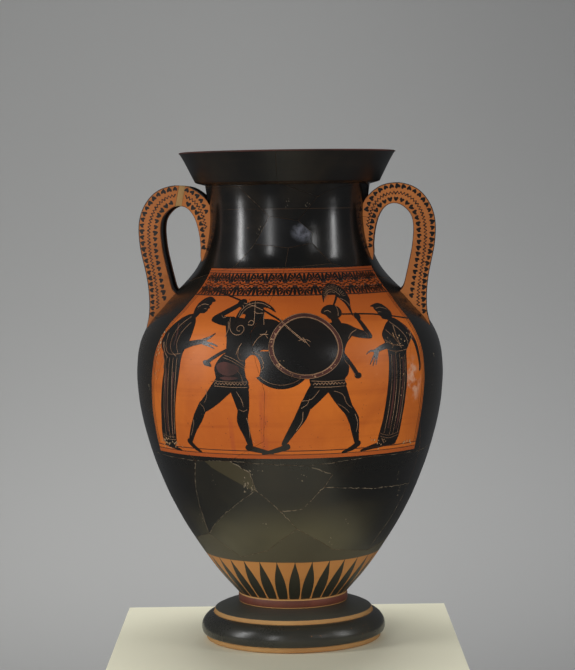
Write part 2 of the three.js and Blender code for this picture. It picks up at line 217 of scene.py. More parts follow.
def stroke(points: Sequence[tuple[float, float, float]], steps: int = 4, caps: int = 3) -> Outline:
    """Brush stroke with a changing width and rounded ends.

    Args:
        points: (across, up, width) along the stroke.
        steps: New points per given point.
        caps: Points in each rounded end.

    Returns:
        The closed outline.
    """
    line = smooth([p[:2] for p in points], steps, closed=False)
    widths = [w for i in range(len(points) - 1) for w in
              [points[i][2] + (points[i + 1][2] - points[i][2]) * s / steps for s in range(steps)]] + [points[-1][2]]
    left, right = [], []
    for i, (x, y) in enumerate(line):
        a, b = line[max(0, i - 1)], line[min(len(line) - 1, i + 1)]
        l = math.hypot(b[0] - a[0], b[1] - a[1]) or 1.0
        nx, ny = -(b[1] - a[1]) / l, (b[0] - a[0]) / l
        h = widths[i] / 2
        left.append((x + nx * h, y + ny * h))
        right.append((x - nx * h, y - ny * h))

    def cap(centre: Point, start: Point, turn: float) -> Outline:
        a0 = math.atan2(start[1] - centre[1], start[0] - centre[0])
        r = math.hypot(start[1] - centre[1], start[0] - centre[0])
        return [(centre[0] + r * math.cos(a0 + turn * k / (caps + 1)),
                 centre[1] + r * math.sin(a0 + turn * k / (caps + 1)))
                for k in range(1, caps + 1)]

    return left + cap(line[-1], left[-1], -math.pi) + right[::-1] + cap(line[0], right[0], -math.pi)


def line(points: Sequence[Point], width: float = 0.5, steps: int = 3) -> Outline:
    """Stroke of one width."""
    return stroke([(x, y, width) for x, y in points], steps, caps=1)


def ellipse(x: float, y: float, rx: float, ry: float, count: int = 36, start: float = 0.0,
            sweep: float = 360.0) -> Outline:
    """Points round an ellipse.

    Args:
        x: Centre across.
        y: Centre up.
        rx: Half width.
        ry: Half height.
        count: Points.
        start: First angle, degrees.
        sweep: Angle covered, degrees.

    Returns:
        The points.
    """
    full = abs(sweep) >= 360
    return [(x + rx * math.cos(math.radians(start + sweep * k / (count if full else count - 1))),
             y + ry * math.sin(math.radians(start + sweep * k / (count if full else count - 1))))
             for k in range(count)]


def ring(x: float, y: float, rx: float, ry: float, width: float, halves: int = 2) -> list[Outline]:
    """Elliptical band in separate arcs.

    Args:
        x: Centre across.
        y: Centre up.
        rx: Half width of its middle line.
        ry: Half height of its middle line.
        width: Band width.
        halves: Number of arcs.

    Returns:
        The arcs.
    """
    out = []
    for k in range(halves):
        a, s = 360 / halves * k, 360 / halves
        h = width / 2
        out.append(ellipse(x, y, rx + h, ry + h, 28, a, s) + ellipse(x, y, rx - h, ry - h, 28, a, s)[::-1])
    return out


def inside(p: Point, outline: Outline) -> bool:
    """Whether a point lies in a closed outline.

    Args:
        p: The point.
        outline: The outline.

    Returns:
        True if it does.
    """
    hit = False
    x, y = p
    for (x0, y0), (x1, y1) in zip(outline, outline[1:] + outline[:1]):
        if (y0 > y) != (y1 > y) and x < (x1 - x0) * (y - y0) / (y1 - y0) + x0:
            hit = not hit
    return hit


def offset(outline: Outline, distance: float, closed: bool = True) -> Outline:
    """Outline moved to its left by a distance.

    Args:
        outline: Points in order.
        distance: Distance to the left of travel.
        closed: Whether it joins up.

    Returns:
        The moved points.
    """
    n = len(outline)
    out = []
    for i, p in enumerate(outline):
        a = outline[i - 1] if closed or i else None
        b = outline[(i + 1) % n] if closed or i < n - 1 else None
        dirs = []
        for s, e in ((a, p), (p, b)):
            if s is not None and e is not None:
                l = math.hypot(e[0] - s[0], e[1] - s[1])
                if l > 1e-9:
                    dirs.append(((e[0] - s[0]) / l, (e[1] - s[1]) / l))
        d0, d1 = dirs[0], dirs[-1]
        k = max(0.35, 1 + d0[0] * d1[0] + d0[1] * d1[1])
        out.append((p[0] - (d0[1] + d1[1]) * distance / k, p[1] + (d0[0] + d1[0]) * distance / k))
    return out


@dataclass(frozen=True)
class Vessel:
    """Shape of the thrown wall, outside and inside, with the slight wobble of a hand-made pot."""

    wall: Curve = field(default_factory=lambda: Curve([z for _, z in WALL], [r for r, _ in WALL]))
    wobble: float = 0.22

    def radius(self, z: float) -> float:
        """Outer radius there."""
        return self.wall(z) if z <= NECK_TOP else along([(h, r) for r, h in MOUTH], z)

    def slope(self, z: float) -> tuple[float, float]:
        """Args:
            z: Height.

        Returns:
            Unit outward normal as (radial, up).
        """
        a, b = self.radius(z - 1.5), self.radius(z + 1.5)
        l = math.hypot(b - a, 3.0)
        return 3.0 / l, -(b - a) / l

    def sway(self, deg: float, z: float) -> float:
        """Local departure from a true circle, mm."""
        a = math.radians(deg)
        return self.wobble * noise.noise(Vector((math.sin(a) * 1.4, math.cos(a) * 1.4, z / 95.0)))

    def put(self, deg: float, r: float, z: float) -> Vector:
        """The point in metres."""
        a = math.radians(deg)
        return Vector((r * math.sin(a), -r * math.cos(a), z)) * MM

    def outer(self, deg: float, z: float, lift: float = 0.0) -> Vector:
        """Point on or over the outer face."""
        nr, nz = self.slope(z) if lift else (1.0, 0.0)
        return self.put(deg, self.radius(z) + self.sway(deg, z) + lift * nr, z + (lift * nz if lift else 0.0))

    def inner(self, deg: float, z: float) -> Vector:
        """Args:
            deg: Angle.
            z: Height on the outer face.

        Returns:
            The partner point on the inner face.
        """
        if z > 515:
            outer = [(522.0, 1), (525.4, 2), (532.4, 3), (541.4, 4), (550.4, 5), (557.0, 6), (559.4, 7)]
            t = along([(515.0, 0.0)] + outer, z)
            i = min(6, int(t))
            (r0, z0), (r1, z1) = MOUTH_INNER[i], MOUTH_INNER[i + 1]
            return self.put(deg, r0 + (r1 - r0) * (t - i) + self.sway(deg, z), z0 + (z1 - z0) * (t - i))
        thick = along([(54, 8.0), (150, 6.6), (400, 6.6), (460, 6.8)], z)
        nr, nz = self.slope(z)
        thick = thick if z < 505 else along([(505, 6.8), (515, 6.0)], z)
        return self.put(deg, self.radius(z) - thick * nr + self.sway(deg, z), max(FLOOR_TOP, z - thick * nz))


# --------------------------------------------------------------------------------------
# Breaks
# --------------------------------------------------------------------------------------
def span(points: Outline, start: float, end: float) -> Outline:
    """Points of a ring of breaks between two of its angles."""
    every = [(t + turn, z) for turn in (-360, 0, 360) for t, z in points]
    return sorted(p for p in every if start - 1e-6 <= p[0] <= end + 1e-6)


def shifted(points: Outline, turn: float) -> Outline:
    """Points turned by some degrees."""
    return [(t + turn, z) for t, z in points]


def between(low: Outline, high: Outline, left: Outline, right: Outline) -> Outline:
    """Outline of a fragment between two rings and two cracks."""
    return (span(low, left[0][0], right[0][0]) + right[1:-1] + span(high, left[-1][0],
        right[-1][0])[::-1] + left[1:-1][::-1])


@dataclass
class Breaks:
    """The pattern of breaks, as fragment outlines in angle and height."""

    vessel: Vessel
    outlines: dict[str, Outline] = field(default_factory=dict)

    def __post_init__(self) -> None:
        """Lays out every fragment of the wall."""
        c = CRACKS
        raw = {
            "base_ring": [(-180, 54), (180, 54)] + span(RING_BASE, -180, 180)[::-1],
            "belly_left": between(RING_BASE, RING_GROUND, c["K"], c["A"]),
            "belly_fill": c["C"] + c["B"][1:] + [(-40.8, 221), c["A"][1]],
            "belly_lower": span(RING_BASE, -50, 2.4) + c["D"][1:] + [c["C"][1]],
            "belly_centre": c["E"] + c["F"][1:] + [c["B"][2], c["B"][1], c["D"][3], c["D"][2]],
            "belly_right": c["G"] + span(RING_GROUND, 6.7, 63)[::-1] + [c["F"][1]],
            "belly_right_lower": span(RING_BASE, 2.4, 52) + c["H"][1:] + [c["G"][1]] + c["E"][::-1],
            "belly_side": span(RING_BASE, 52, 112) + [c["J"][1]] + span(RING_GROUND, 63, 98)[::-1] + [(63.2, 185.5),
                c["H"][1]],
            "belly_back_right": between(RING_BASE, RING_GROUND, c["J"], c["L"]),
            "belly_back_left": between(RING_BASE, RING_GROUND, shifted(c["L"], -360), c["K"]),
            "panel_left": between(RING_GROUND, RING_SHOULDER, c["Q"], c["M"]),
            "panel_warrior": between(RING_GROUND, RING_SHOULDER, c["M"], c["N"]),
            "panel_shield": between(RING_GROUND, RING_SHOULDER, c["N"], c["O"]),
            "panel_right": between(RING_GROUND, RING_SHOULDER, c["O"], c["P"]),
            "panel_back": between(RING_GROUND, RING_SHOULDER, c["P"], shifted(c["Q"], 360)),
            "neck_left": between(RING_SHOULDER, RING_MOUTH, c["X"], c["R"]),
            "neck_low_left": span(RING_SHOULDER, -36, -2.2) + [PATCH[0], PATCH[5]],
            "neck_low_right": span(RING_SHOULDER, -2.2, 28) + [PATCH[1], PATCH[0]],
            "neck_patch": PATCH[:],
            "neck_front": [PATCH[4], PATCH[3]] + span(RING_MOUTH, -35, 21)[::-1],
            "neck_right": span(RING_SHOULDER, 28, 142) + [c["W"][1]] + span(RING_MOUTH, 21, 120)[::-1] + [PATCH[3],
                PATCH[2], PATCH[1]],
            "neck_back": between(RING_SHOULDER, RING_MOUTH, c["W"], shifted(c["X"], 360)),
            "mouth_left": between(RING_MOUTH, RIM, [(-125, 526), (-125, 600)], [(-6, 524), (-6, 600)]),
            "mouth_right": between(RING_MOUTH, RIM, [(-6, 524), (-6, 600)], [(120, 525), (120, 600)]),
            "mouth_back": between(RING_MOUTH, RIM, [(120, 525), (120, 600)], [(235, 526), (235, 600)]),
        }
        for name, outline in raw.items():
            self.outlines[name] = self._inset(outline, name == "base_ring")

    def _inset(self, outline: Outline, whole: bool) -> Outline:
        """Shrinks an outline by half a seam and puts it in flat units.

        Args:
            outline: Angles and heights.
            whole: Whether it runs all the way round.

        Returns:
            The flat outline.
        """
        flat = []
        n = len(outline)
        for i, (t, z) in enumerate(outline):
            k = self.vessel.radius(z) * math.pi / 180
            ends = (outline[i - 1], (t, z)), ((t, z), outline[(i + 1) % n])
            u = [((b[0] - a[0]) * k, b[1] - a[1]) for a, b in ends]
            (ax, ay), (bx, by) = [(x / math.hypot(x, y), y / math.hypot(x, y)) for x, y in u]
            s = max(0.3, 1 + ax * bx + ay * by)
            dx, dz = -(ay + by) * SEAM / 2 / s, (ax + bx) * SEAM / 2 / s
            if whole:
                dx, dz = 0.0, (0.0 if z <= 54 else -SEAM / 2)
            flat.append(((t + BREAK_TURN + dx / k) * FLAT_PER_DEG, z + dz))
        return flat


# --------------------------------------------------------------------------------------
# Flat sheets, cut and wrapped
# --------------------------------------------------------------------------------------
@dataclass
class Sheet:
    """A flat drawing in angle and height that is cut to shape and then wrapped."""

    bm: bmesh.types.BMesh

    @classmethod
    def grid(cls, low: Point, high: Point, step: Point = (6.0, 4.0)) -> "Sheet":
        """Grid over a box.

        Args:
            low: Lower corner.
            high: Upper corner.
            step: Cell size.

        Returns:
            The sheet.
        """
        x0, y0 = (math.floor(low[k] / step[k]) * step[k] for k in range(2))
        nx, ny = math.ceil((high[0] - x0) / step[0]), math.ceil((high[1] - y0) / step[1])
        bm = bmesh.new()
        bmesh.ops.create_grid(bm, x_segments=nx, y_segments=ny, size=0.5)
        for v in bm.verts:
            v.co.x = x0 + (v.co.x + 0.5) * nx * step[0]
            v.co.y = y0 + (v.co.y + 0.5) * ny * step[1]
        return cls(bm)

    @classmethod
    def filled(cls, outline: Outline) -> "Sheet":
        """Filled outline.

        Args:
            outline: Closed outline.

        Returns:
            The sheet.
        """
        bm = bmesh.new()
        verts = []
        for p in outline:
            if not verts or math.hypot(p[0] - verts[-1].co.x, p[1] - verts[-1].co.y) > 0.02:
                verts.append(bm.verts.new((p[0], p[1], 0)))
        bm.faces.new(verts).normal_update()
        bmesh.ops.triangulate(bm, faces=bm.faces[:], ngon_method="EAR_CLIP")
        return cls(bm)

    def rule(self, xs: Iterable[float] = (), ys: Iterable[float] = ()) -> None:
        """Cuts along whole lines."""
        for co, no in [((x, 0, 0), (1, 0, 0)) for x in xs] + [((0, y, 0), (0, 1, 0)) for y in ys]:
            bmesh.ops.bisect_plane(self.bm, geom=[*self.bm.verts, *self.bm.edges, *self.bm.faces], dist=1e-3,
                                   plane_co=co, plane_no=no)

    def score(self, outline: Outline) -> None:
        """Cuts the faces under every edge of an outline.

        Args:
            outline: Closed outline.
        """
        for a, b in zip(outline, outline[1:] + outline[:1]):
            dx, dy = b[0] - a[0], b[1] - a[1]
            l = math.hypot(dx, dy)
            if l < 1e-6:
                continue
            dx, dy = dx / l, dy / l
            hit = set()
            for f in self.bm.faces:
                side, reach = [], []
                for v in f.verts:
                    x, y = v.co.x - a[0], v.co.y - a[1]
                    side.append(x * -dy + y * dx)
                    reach.append(x * dx + y * dy)
                if max(side) > 1e-3 and min(side) < -1e-3 and max(reach) > -1e-3 and min(reach) < l + 1e-3:
                    hit.add(f)
            if hit:
                geom = set(hit)
                for f in hit:
                    geom.update(f.edges)
                    geom.update(f.verts)
                bmesh.ops.bisect_plane(self.bm, geom=list(geom), dist=1e-3, plane_co=(a[0], a[1], 0),
                                       plane_no=(-dy, dx, 0))

    def keep(self, outlines: Sequence[Outline]) -> None:
        """Drops faces outside every outline.

        Args:
            outlines: Closed outlines.
        """
        gone = [f for f in self.bm.faces if not any(inside(tuple(f.calc_center_median()[:2]), o) for o in outlines)]
        bmesh.ops.delete(self.bm, geom=gone, context="FACES")
        bmesh.ops.remove_doubles(self.bm, verts=self.bm.verts[:], dist=0.01)
        bmesh.ops.dissolve_degenerate(self.bm, edges=self.bm.edges[:], dist=0.01)

    def wrap(self, outer: Callable[[float, float], Vector], inner: Callable[[float, float], Vector]) -> None:
        """Thickens the sheet and bends it into place. Sides get material index 1, the inner face 2.

        Args:
            outer: Place of a point on the outer face.
            inner: Place of its partner.
        """
        top = set(self.bm.faces)
        ret = bmesh.ops.extrude_face_region(self.bm, geom=list(top))
        moved = {g for g in ret["geom"] if isinstance(g, bmesh.types.BMVert)}
        back = {g for g in ret["geom"] if isinstance(g, bmesh.types.BMFace)}
        for f in self.bm.faces:
            f.material_index = 0 if f in top else 2 if f in back else 1
        for v in self.bm.verts:
            v.co = (inner if v in moved else outer)(v.co.x / FLAT_PER_DEG, v.co.y)
        bmesh.ops.recalc_face_normals(self.bm, faces=self.bm.faces[:])


def soften(bm: bmesh.types.BMesh, angle: float = 38.0) -> None:
    """Smooth shading with creases kept sharp.

    Args:
        bm: The mesh.
        angle: Crease angle, degrees.
    """
    wide = [f for f in bm.faces if len(f.verts) > 4]
    if wide:
        bmesh.ops.triangulate(bm, faces=wide)
    for f in bm.faces:
        f.smooth = True
    for e in bm.edges:
        e.smooth = len(e.link_faces) == 2 and e.calc_face_angle(0.0) < math.radians(angle)


def add_piece(name: str, bm: bmesh.types.BMesh, finishes: Sequence[bpy.types.Material],
              nodes: Sequence[str] = (), angle: float = 38.0) -> bpy.types.Object:
    """Makes the shown object from a mesh and ties it to the frame.

    Args:
        name: Piece name.
        bm: Mesh in metres, freed here.
        finishes: Materials by index.
        nodes: CAD nodes it stands for.
        angle: Crease angle.

    Returns:
        The object.
    """
    soften(bm, angle)
    mesh = bpy.data.meshes.new(name)
    bm.to_mesh(mesh)
    bm.free()
    for m in finishes:
        mesh.materials.append(m)
    obj = bpy.data.objects.new(name, mesh)
    bpy.context.scene.collection.objects.link(obj)
    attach(obj, "root")
    if nodes:
        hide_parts(*nodes)
    log.info("%s: %d faces", name, len(mesh.polygons))
    return obj


def join(meshes: Iterable[bmesh.types.BMesh]) -> bmesh.types.BMesh:
    """Puts several meshes in one.

    Args:
        meshes: The meshes, freed here.

    Returns:
        The joined mesh.
    """
    total = bmesh.new()
    scratch = bpy.data.meshes.new("scratch")
    for bm in meshes:
        bm.to_mesh(scratch)
        total.from_mesh(scratch)
        bm.free()
    bpy.data.meshes.remove(scratch)
    return total


# --------------------------------------------------------------------------------------
# Shader building
# --------------------------------------------------------------------------------------
class Val:
    """A number or colour in a node tree that takes part in Python arithmetic."""

    def __init__(self, tree: "Tree", socket: bpy.types.NodeSocket) -> None:
        """Args:
            tree: Its tree.
            socket: The output it stands for.
        """
        self.tree, self.socket = tree, socket

    def _do(self, op: str, *args: "Val | float") -> "Val":
        """Adds a maths node and gives its result."""
        return self.tree.math(op, *args)

    def __add__(self, o: "Val | float") -> "Val":
        """Sum."""
        return self._do("ADD", self, o)

    def __sub__(self, o: "Val | float") -> "Val":
        """Difference."""
        return self._do("SUBTRACT", self, o)

    def __rsub__(self, o: float) -> "Val":
        """Reflected difference."""
        return self._do("SUBTRACT", o, self)

    def __mul__(self, o: "Val | float") -> "Val":
        """Product."""
        return self._do("MULTIPLY", self, o)

    def __truediv__(self, o: "Val | float") -> "Val":
        """Quotient."""
        return self._do("DIVIDE", self, o)

    def __pow__(self, o: float) -> "Val":
        """Power."""
        return self._do("POWER", self, o)

    def __neg__(self) -> "Val":
        """Negative."""
        return self._do("MULTIPLY", self, -1.0)

    def __abs__(self) -> "Val":
        """Absolute value."""
        return self._do("ABSOLUTE", self)

    __radd__ = __add__

    def least(self, o: "Val | float") -> "Val":
        """Smaller of two values."""
        return self._do("MINIMUM", self, o)

    def most(self, o: "Val | float") -> "Val":
        """Larger of two values."""
        return self._do("MAXIMUM", self, o)

    def ramp(self, low: float, high: float) -> "Val":
        """Smooth step."""
        n = self.tree.node("ShaderNodeMapRange", {"Value": self, "From Min": low, "From Max": high},
                           interpolation_type="SMOOTHSTEP")
        return Val(self.tree, n.outputs["Result"])

    def band(self, low: float, high: float, soft: float) -> "Val":
        """One between two values, easing to zero outside them."""
        return self.ramp(low - soft, low + soft) * (1.0 - self.ramp(high - soft, high + soft))


class Tree:
    """Node tree of one material."""

    def __init__(self, name: str) -> None:
        """Args:
            name: Material name.
        """
        self.material = bpy.data.materials.new(name)
        self.material.use_nodes = True
        self.nodes, self.links = self.material.node_tree.nodes, self.material.node_tree.links
        self.nodes.clear()
        xyz = self.node("ShaderNodeSeparateXYZ", {"Vector": self.place()})
        self.x, self.y, self.z = (Val(self, s) * 1000.0 for s in xyz.outputs)

    def node(self, kind: str, inputs: dict | None = None, **props: object) -> bpy.types.Node:
        """Adds any node.

        Args:
            kind: Node type.
            inputs: Socket name or index to value or link.
            props: Node properties.

        Returns:
            The node.
        """
        n = self.nodes.new(kind)
        for k, v in props.items():
            setattr(n, k, v)
        for k, v in (inputs or {}).items():
            self.feed(n.inputs[k], v)
        return n

    def feed(self, socket: bpy.types.NodeSocket, value: object) -> None:
        """Links a value or sets a constant.

        Args:
            socket: The input.
            value: A Val, an output socket or a constant.
        """
        if isinstance(value, Val):
            self.links.new(value.socket, socket)
        elif isinstance(value, bpy.types.NodeSocket):
            self.links.new(value, socket)
        elif isinstance(value, tuple) and len(value) == 3 and socket.type == "RGBA":
            socket.default_value = (*value, 1.0)
        else:
            socket.default_value = value

    def place(self) -> bpy.types.NodeSocket:
        """The point in the piece's own space."""
        return self.node("ShaderNodeTexCoord").outputs["Object"]

    def math(self, op: str, *args: Val | float) -> Val:
        """Adds a maths node."""
        return Val(self, self.node("ShaderNodeMath", dict(enumerate(args)), operation=op).outputs[0])

    def stretched(self, x: float, y: float, z: float) -> bpy.types.NodeSocket:
        """Place scaled along each axis."""
        return self.node("ShaderNodeVectorMath", {0: self.place(), 1: (x, y, z)}, operation="MULTIPLY").outputs[0]

    def noise(self, scale: float, detail: float = 4.0, rough: float = 0.55, at: bpy.types.NodeSocket | None = None,
              warp: float = 0.0) -> Val:
        """Cloudy noise."""
        inputs = {"Vector": at or self.place(), "Scale": scale, "Detail": detail, "Roughness": rough,
                  "Distortion": warp}
        return Val(self, self.node("ShaderNodeTexNoise", inputs).outputs[0])

    def mix(self, share: Val | float, a: object, b: object) -> Val:
        """Blends two colours.

        Args:
            share: Share of the second.
            a: First colour.
            b: Second colour.

        Returns:
            The blend.
        """
        n = self.nodes.new("ShaderNodeMix")
        n.data_type = "RGBA"
        n.clamp_factor = True
        self.feed(n.inputs[0], share)
        self.feed(n.inputs[6], a)
        self.feed(n.inputs[7], b)
        return Val(self, n.outputs[2])

    def angle(self) -> Val:
        """Degrees from the front towards +X."""
        return self.math("ARCTAN2", self.x, -self.y) * (180 / math.pi)

    def spot(self, angle: float, height: float, wide: float, tall: float) -> Val:
        """Distance from a place on the wall, one on the ellipse of these half sizes."""
        return (((self.angle() - angle) / wide) ** 2.0 + ((self.z - height) / tall) ** 2.0) ** 0.5

    def finish(self, colour: object, rough: object, bump: Val | None = None, strength: float = 0.3,
               depth: float = 0.0002, **more: object) -> bpy.types.Material:
        """Closes the tree with a surface.

        Args:
            colour: Base colour.
            rough: Roughness.
            bump: Height for bump.
            strength: Bump strength.
            depth: Bump distance, metres.
            more: Other shader inputs by name, underscores for spaces.

        Returns:
            The material.
        """
        inputs: dict = {"Base Color": colour, "Roughness": rough}
        inputs.update({k.replace("_", " "): v for k, v in more.items()})
        if bump is not None:
            relief = {"Height": bump, "Strength": strength, "Distance": depth}
            inputs["Normal"] = self.node("ShaderNodeBump", relief).outputs[0]
        shader = self.node("ShaderNodeBsdfPrincipled", inputs)
        self.node("ShaderNodeOutputMaterial", {"Surface": shader.outputs[0]})
        return self.material


@dataclass(frozen=True)
class GlossSlip:
    """Black fired slip with brown thin places, wheel streaks and worn specks; it can also carry a pale bluish painted
    sheen.
    """

    name: str
    dark: tuple[float, float, float] = (0.0065, 0.0064, 0.0058)
    thin: tuple[float, float, float] = (0.024, 0.017, 0.010)
    clay: tuple[float, float, float] = (0.30, 0.12, 0.045)
    low: float = 0.17
    high: float = 0.26
    wear: float = 0.70
    olive: bool = False
    patch: bool = False
    # Paints a pale bluish sheen, a painted reflection, on the right of the neck fill.
    painted_sheen: bool = False
    bump: float = 0.25

    def build(self) -> bpy.types.Material:
        """Returns:
            The material.
        """
        t = Tree(self.name)
        cloud = t.noise(9.0, 5.0, 0.6, warp=0.4)
        streak = t.noise(1.0, 4.0, 0.6, at=t.stretched(6.0, 6.0, 150.0))
        fine = t.noise(420.0, 3.0, 0.6)
        colour = t.mix((cloud.ramp(0.42, 0.78) * 0.55 + streak.ramp(0.5, 0.85) * 0.35), self.dark, self.thin)
        if self.olive:
            front = 1.0 - abs(t.angle() + 4.0).ramp(26.0, 62.0)
            zone = (1.0 - t.z.ramp(126.0, 186.0)) * t.noise(6.0, 3.0).ramp(0.1, 0.55) * (front * 0.9 + 0.1)
            colour = t.mix(zone, colour, (0.082, 0.071, 0.038))
        if self.patch:
            a = t.angle() + 29.7
            flake = (t.z + a * 1.43 - 214.0).ramp(-0.5, 0.5).least((t.z + a * 2.35 - 214.0).ramp(-0.5, 0.5))
            colour = t.mix(flake, colour, t.mix(cloud, (0.052, 0.042, 0.020), (0.038, 0.030, 0.015)))
        if self.painted_sheen:
            # Painted sheen: a pale bluish haze, standing in for reflected light, on the right of the neck fill.
            near = t.spot(13.5, 469.0, 8.5, 11.0)
            sheen_haze = (1.0 - near.ramp(0.35, 1.15)) * t.noise(60.0, 4.0, 0.65, warp=0.6).ramp(0.32, 0.56)
            colour = t.mix(sheen_haze, colour, (0.105, 0.108, 0.128))
        edge = t.z.band(522.4, 525.0, 0.4) * 0.35 + t.z.band(494.9, 495.3, 0.25) * 0.5
        colour = t.mix(edge * t.noise(30.0, 3.0).ramp(0.3, 0.6), colour, (0.09, 0.045, 0.02))
        specks = t.noise(260.0, 4.0, 0.7).ramp(self.wear, self.wear + 0.06) * t.noise(14.0, 2.0).ramp(0.45, 0.7)
        colour = t.mix(specks * 0.8, colour, self.clay)
        rough = (self.low + cloud * (self.high - self.low) * 1.2 + fine * 0.06 + specks * 0.3
                 + t.z.ramp(522.5, 525.5) * 0.2)
        if self.olive:
            rough = rough + (1.0 - t.z.ramp(150.0, 236.0)) * 0.14
        height = streak * 0.7 + t.noise(60.0, 4.0, 0.6) * 0.25 + fine * 0.12 - specks * 0.4
        return t.finish(colour, rough, height, self.bump, 0.00025)


@dataclass(frozen=True)
class PanelClay:
    """Burnished orange clay with brush streaks, darker clouds, pale scuffs and pits, and painted shade darkening the
    top of the panel.
    """

    name: str
    base: tuple[float, float, float] = (0.56, 0.142, 0.018)
    deep: tuple[float, float, float] = (0.38, 0.08, 0.011)
    pale: tuple[float, float, float] = (0.62, 0.28, 0.11)
    # Scuffs, stripes, the deep red bottom strip, and painted shade at the top of the panel.
    scuff_and_shade: bool = False
    low: float = 0.3

    def build(self) -> bpy.types.Material:
        """Returns:
            The material.
        """
        t = Tree(self.name)
        cloud = t.noise(8.0, 5.0, 0.6, warp=0.5)
        streak = t.noise(1.0, 4.0, 0.55, at=t.stretched(5.0, 5.0, 120.0))
        upright = t.noise(1.0, 3.0, 0.5, at=t.stretched(60.0, 60.0, 4.0))
        fine = t.noise(350.0, 3.0, 0.6)
        colour = t.mix(cloud.ramp(0.36, 0.72) * 0.75 + streak.ramp(0.48, 0.75) * 0.4, self.base, self.deep)
        colour = t.mix(upright.ramp(0.62, 0.8) * 0.25, colour, self.deep)
        specks = t.noise(180.0, 4.0, 0.7).ramp(0.66, 0.74)
        colour = t.mix(specks * 0.35 + fine.ramp(0.6, 0.9) * 0.12, colour, self.pale)
        rough = self.low + cloud * 0.22 + fine * 0.08
        if self.scuff_and_shade:
            # Painted shade: the clay darkens towards the top of the panel, under the band.
            top = t.z.ramp(352.0, 400.0)
            colour = t.mix(top * 0.75, colour, (0.36, 0.075, 0.013))
            colour = t.mix((1.0 - t.z.ramp(229.5, 232.5)) * 0.6, colour, (0.30, 0.055, 0.014))
            stripe = (t.angle().band(-7.6, -4.8, 0.5) * t.z.band(231.0, 300.0, 6.0)
                      + t.angle().band(-19.5, -17.8, 0.4) * t.z.band(231.0, 270.0, 6.0))
            colour = t.mix(stripe * t.noise(60.0, 3.0).ramp(0.3, 0.6) * 0.6, colour, (0.36, 0.07, 0.02))
            near = t.spot(54.0, 305.0, 5.5, 30.0)
            patch = (1.0 - near.ramp(0.25, 1.1)) * t.noise(70.0, 4.0, 0.65).ramp(0.42, 0.6)
            left = t.spot(-50.5, 237.0, 6.0, 6.0)
            patch = patch.most((1.0 - left.ramp(0.3, 1.1)) * t.noise(110.0, 4.0, 0.65).ramp(0.45, 0.62))
            colour = t.mix(patch * 0.85, colour, (0.62, 0.36, 0.24))
            rough = rough + patch * 0.25
        height = streak * 0.5 + fine * 0.15 + specks * -0.4 + t.noise(50.0, 4.0) * 0.3
        return t.finish(colour, rough, height, 0.22, 0.00022, Specular_IOR_Level=0.3)


@dataclass(frozen=True)
class BaseWall:
    """Lower wall: reserved orange clay up to the ray tips and black slip above."""

    name: str
    edge: float = 102.7

    def build(self) -> bpy.types.Material:
        """Returns:
            The material.
        """
        t = Tree(self.name)
        cloud = t.noise(9.0, 5.0, 0.6, warp=0.4)
        streak = t.noise(1.0, 4.0, 0.55, at=t.stretched(6.0, 6.0, 150.0))
        fine = t.noise(400.0, 3.0, 0.6)
        clay = t.mix(cloud.ramp(0.4, 0.75) * 0.55 + streak.ramp(0.5, 0.8) * 0.25, (0.46, 0.2, 0.055),
                     (0.34, 0.125, 0.03))
        black = t.mix(cloud.ramp(0.4, 0.8) * 0.7, (0.062, 0.053, 0.03), (0.04, 0.034, 0.021))
        wavy = t.z + (t.noise(22.0, 2.0) - 0.5) * 1.4
        above = wavy.ramp(self.edge - 0.25, self.edge + 0.25)
        colour = t.mix(above, clay, black)
        specks = t.noise(240.0, 4.0, 0.7).ramp(0.68, 0.74)
        colour = t.mix(specks * 0.3, colour, (0.42, 0.26, 0.13))
        rough = 0.5 + cloud * 0.15 - above * 0.1 + fine * 0.06
        return t.finish(colour, rough, streak * 0.6 + fine * 0.15 - specks * 0.4, 0.22, 0.00022)


@dataclass(frozen=True)
class Matt:
    """Matt slip, plaster or bare fired clay with clouds, specks and a grain."""

    name: str
    base: tuple[float, float, float]
    other: tuple[float, float, float]
    speck: tuple[float, float, float]
    rough: float = 0.65
    grain: float = 300.0
    share: float = 0.5

    def build(self) -> bpy.types.Material:
        """Returns:
            The material.
        """
        t = Tree(self.name)
        cloud = t.noise(28.0, 5.0, 0.62, warp=0.3)
        fine = t.noise(self.grain, 3.0, 0.6)
        specks = t.noise(self.grain * 0.6, 4.0, 0.7).ramp(0.63, 0.72)
        colour = t.mix(cloud.ramp(0.35, 0.7), self.base, self.other)
        colour = t.mix(specks * self.share, colour, self.speck)
        return t.finish(colour, self.rough + cloud * 0.15 + fine * 0.06, fine * 0.4 + cloud * 0.5 - specks * 0.5, 0.3,
                        0.00025)


@dataclass(frozen=True)
class InnerWall:
    """Inside of the vessel: black slip in the mouth and neck, thinning to bare clay below."""

    name: str

    def build(self) -> bpy.types.Material:
        """Returns:
            The material.
        """
        t = Tree(self.name)
        cloud = t.noise(18.0, 5.0, 0.6, warp=0.5)
        turning = t.noise(1.0, 3.0, 0.5, at=t.stretched(4.0, 4.0, 210.0))
        slip = (t.z + (cloud - 0.5) * 30.0).ramp(486.0, 497.0)
        clay = t.mix(cloud, (0.30, 0.13, 0.055), (0.2, 0.085, 0.038))
        black = t.mix(cloud.ramp(0.4, 0.8), (0.012, 0.011, 0.010), (0.035, 0.022, 0.013))
        return t.finish(t.mix(slip, clay, black), 0.72 - slip * 0.3 + cloud * 0.08,
                        turning * 0.9 + t.noise(200.0) * 0.2, 0.35, 0.0005)


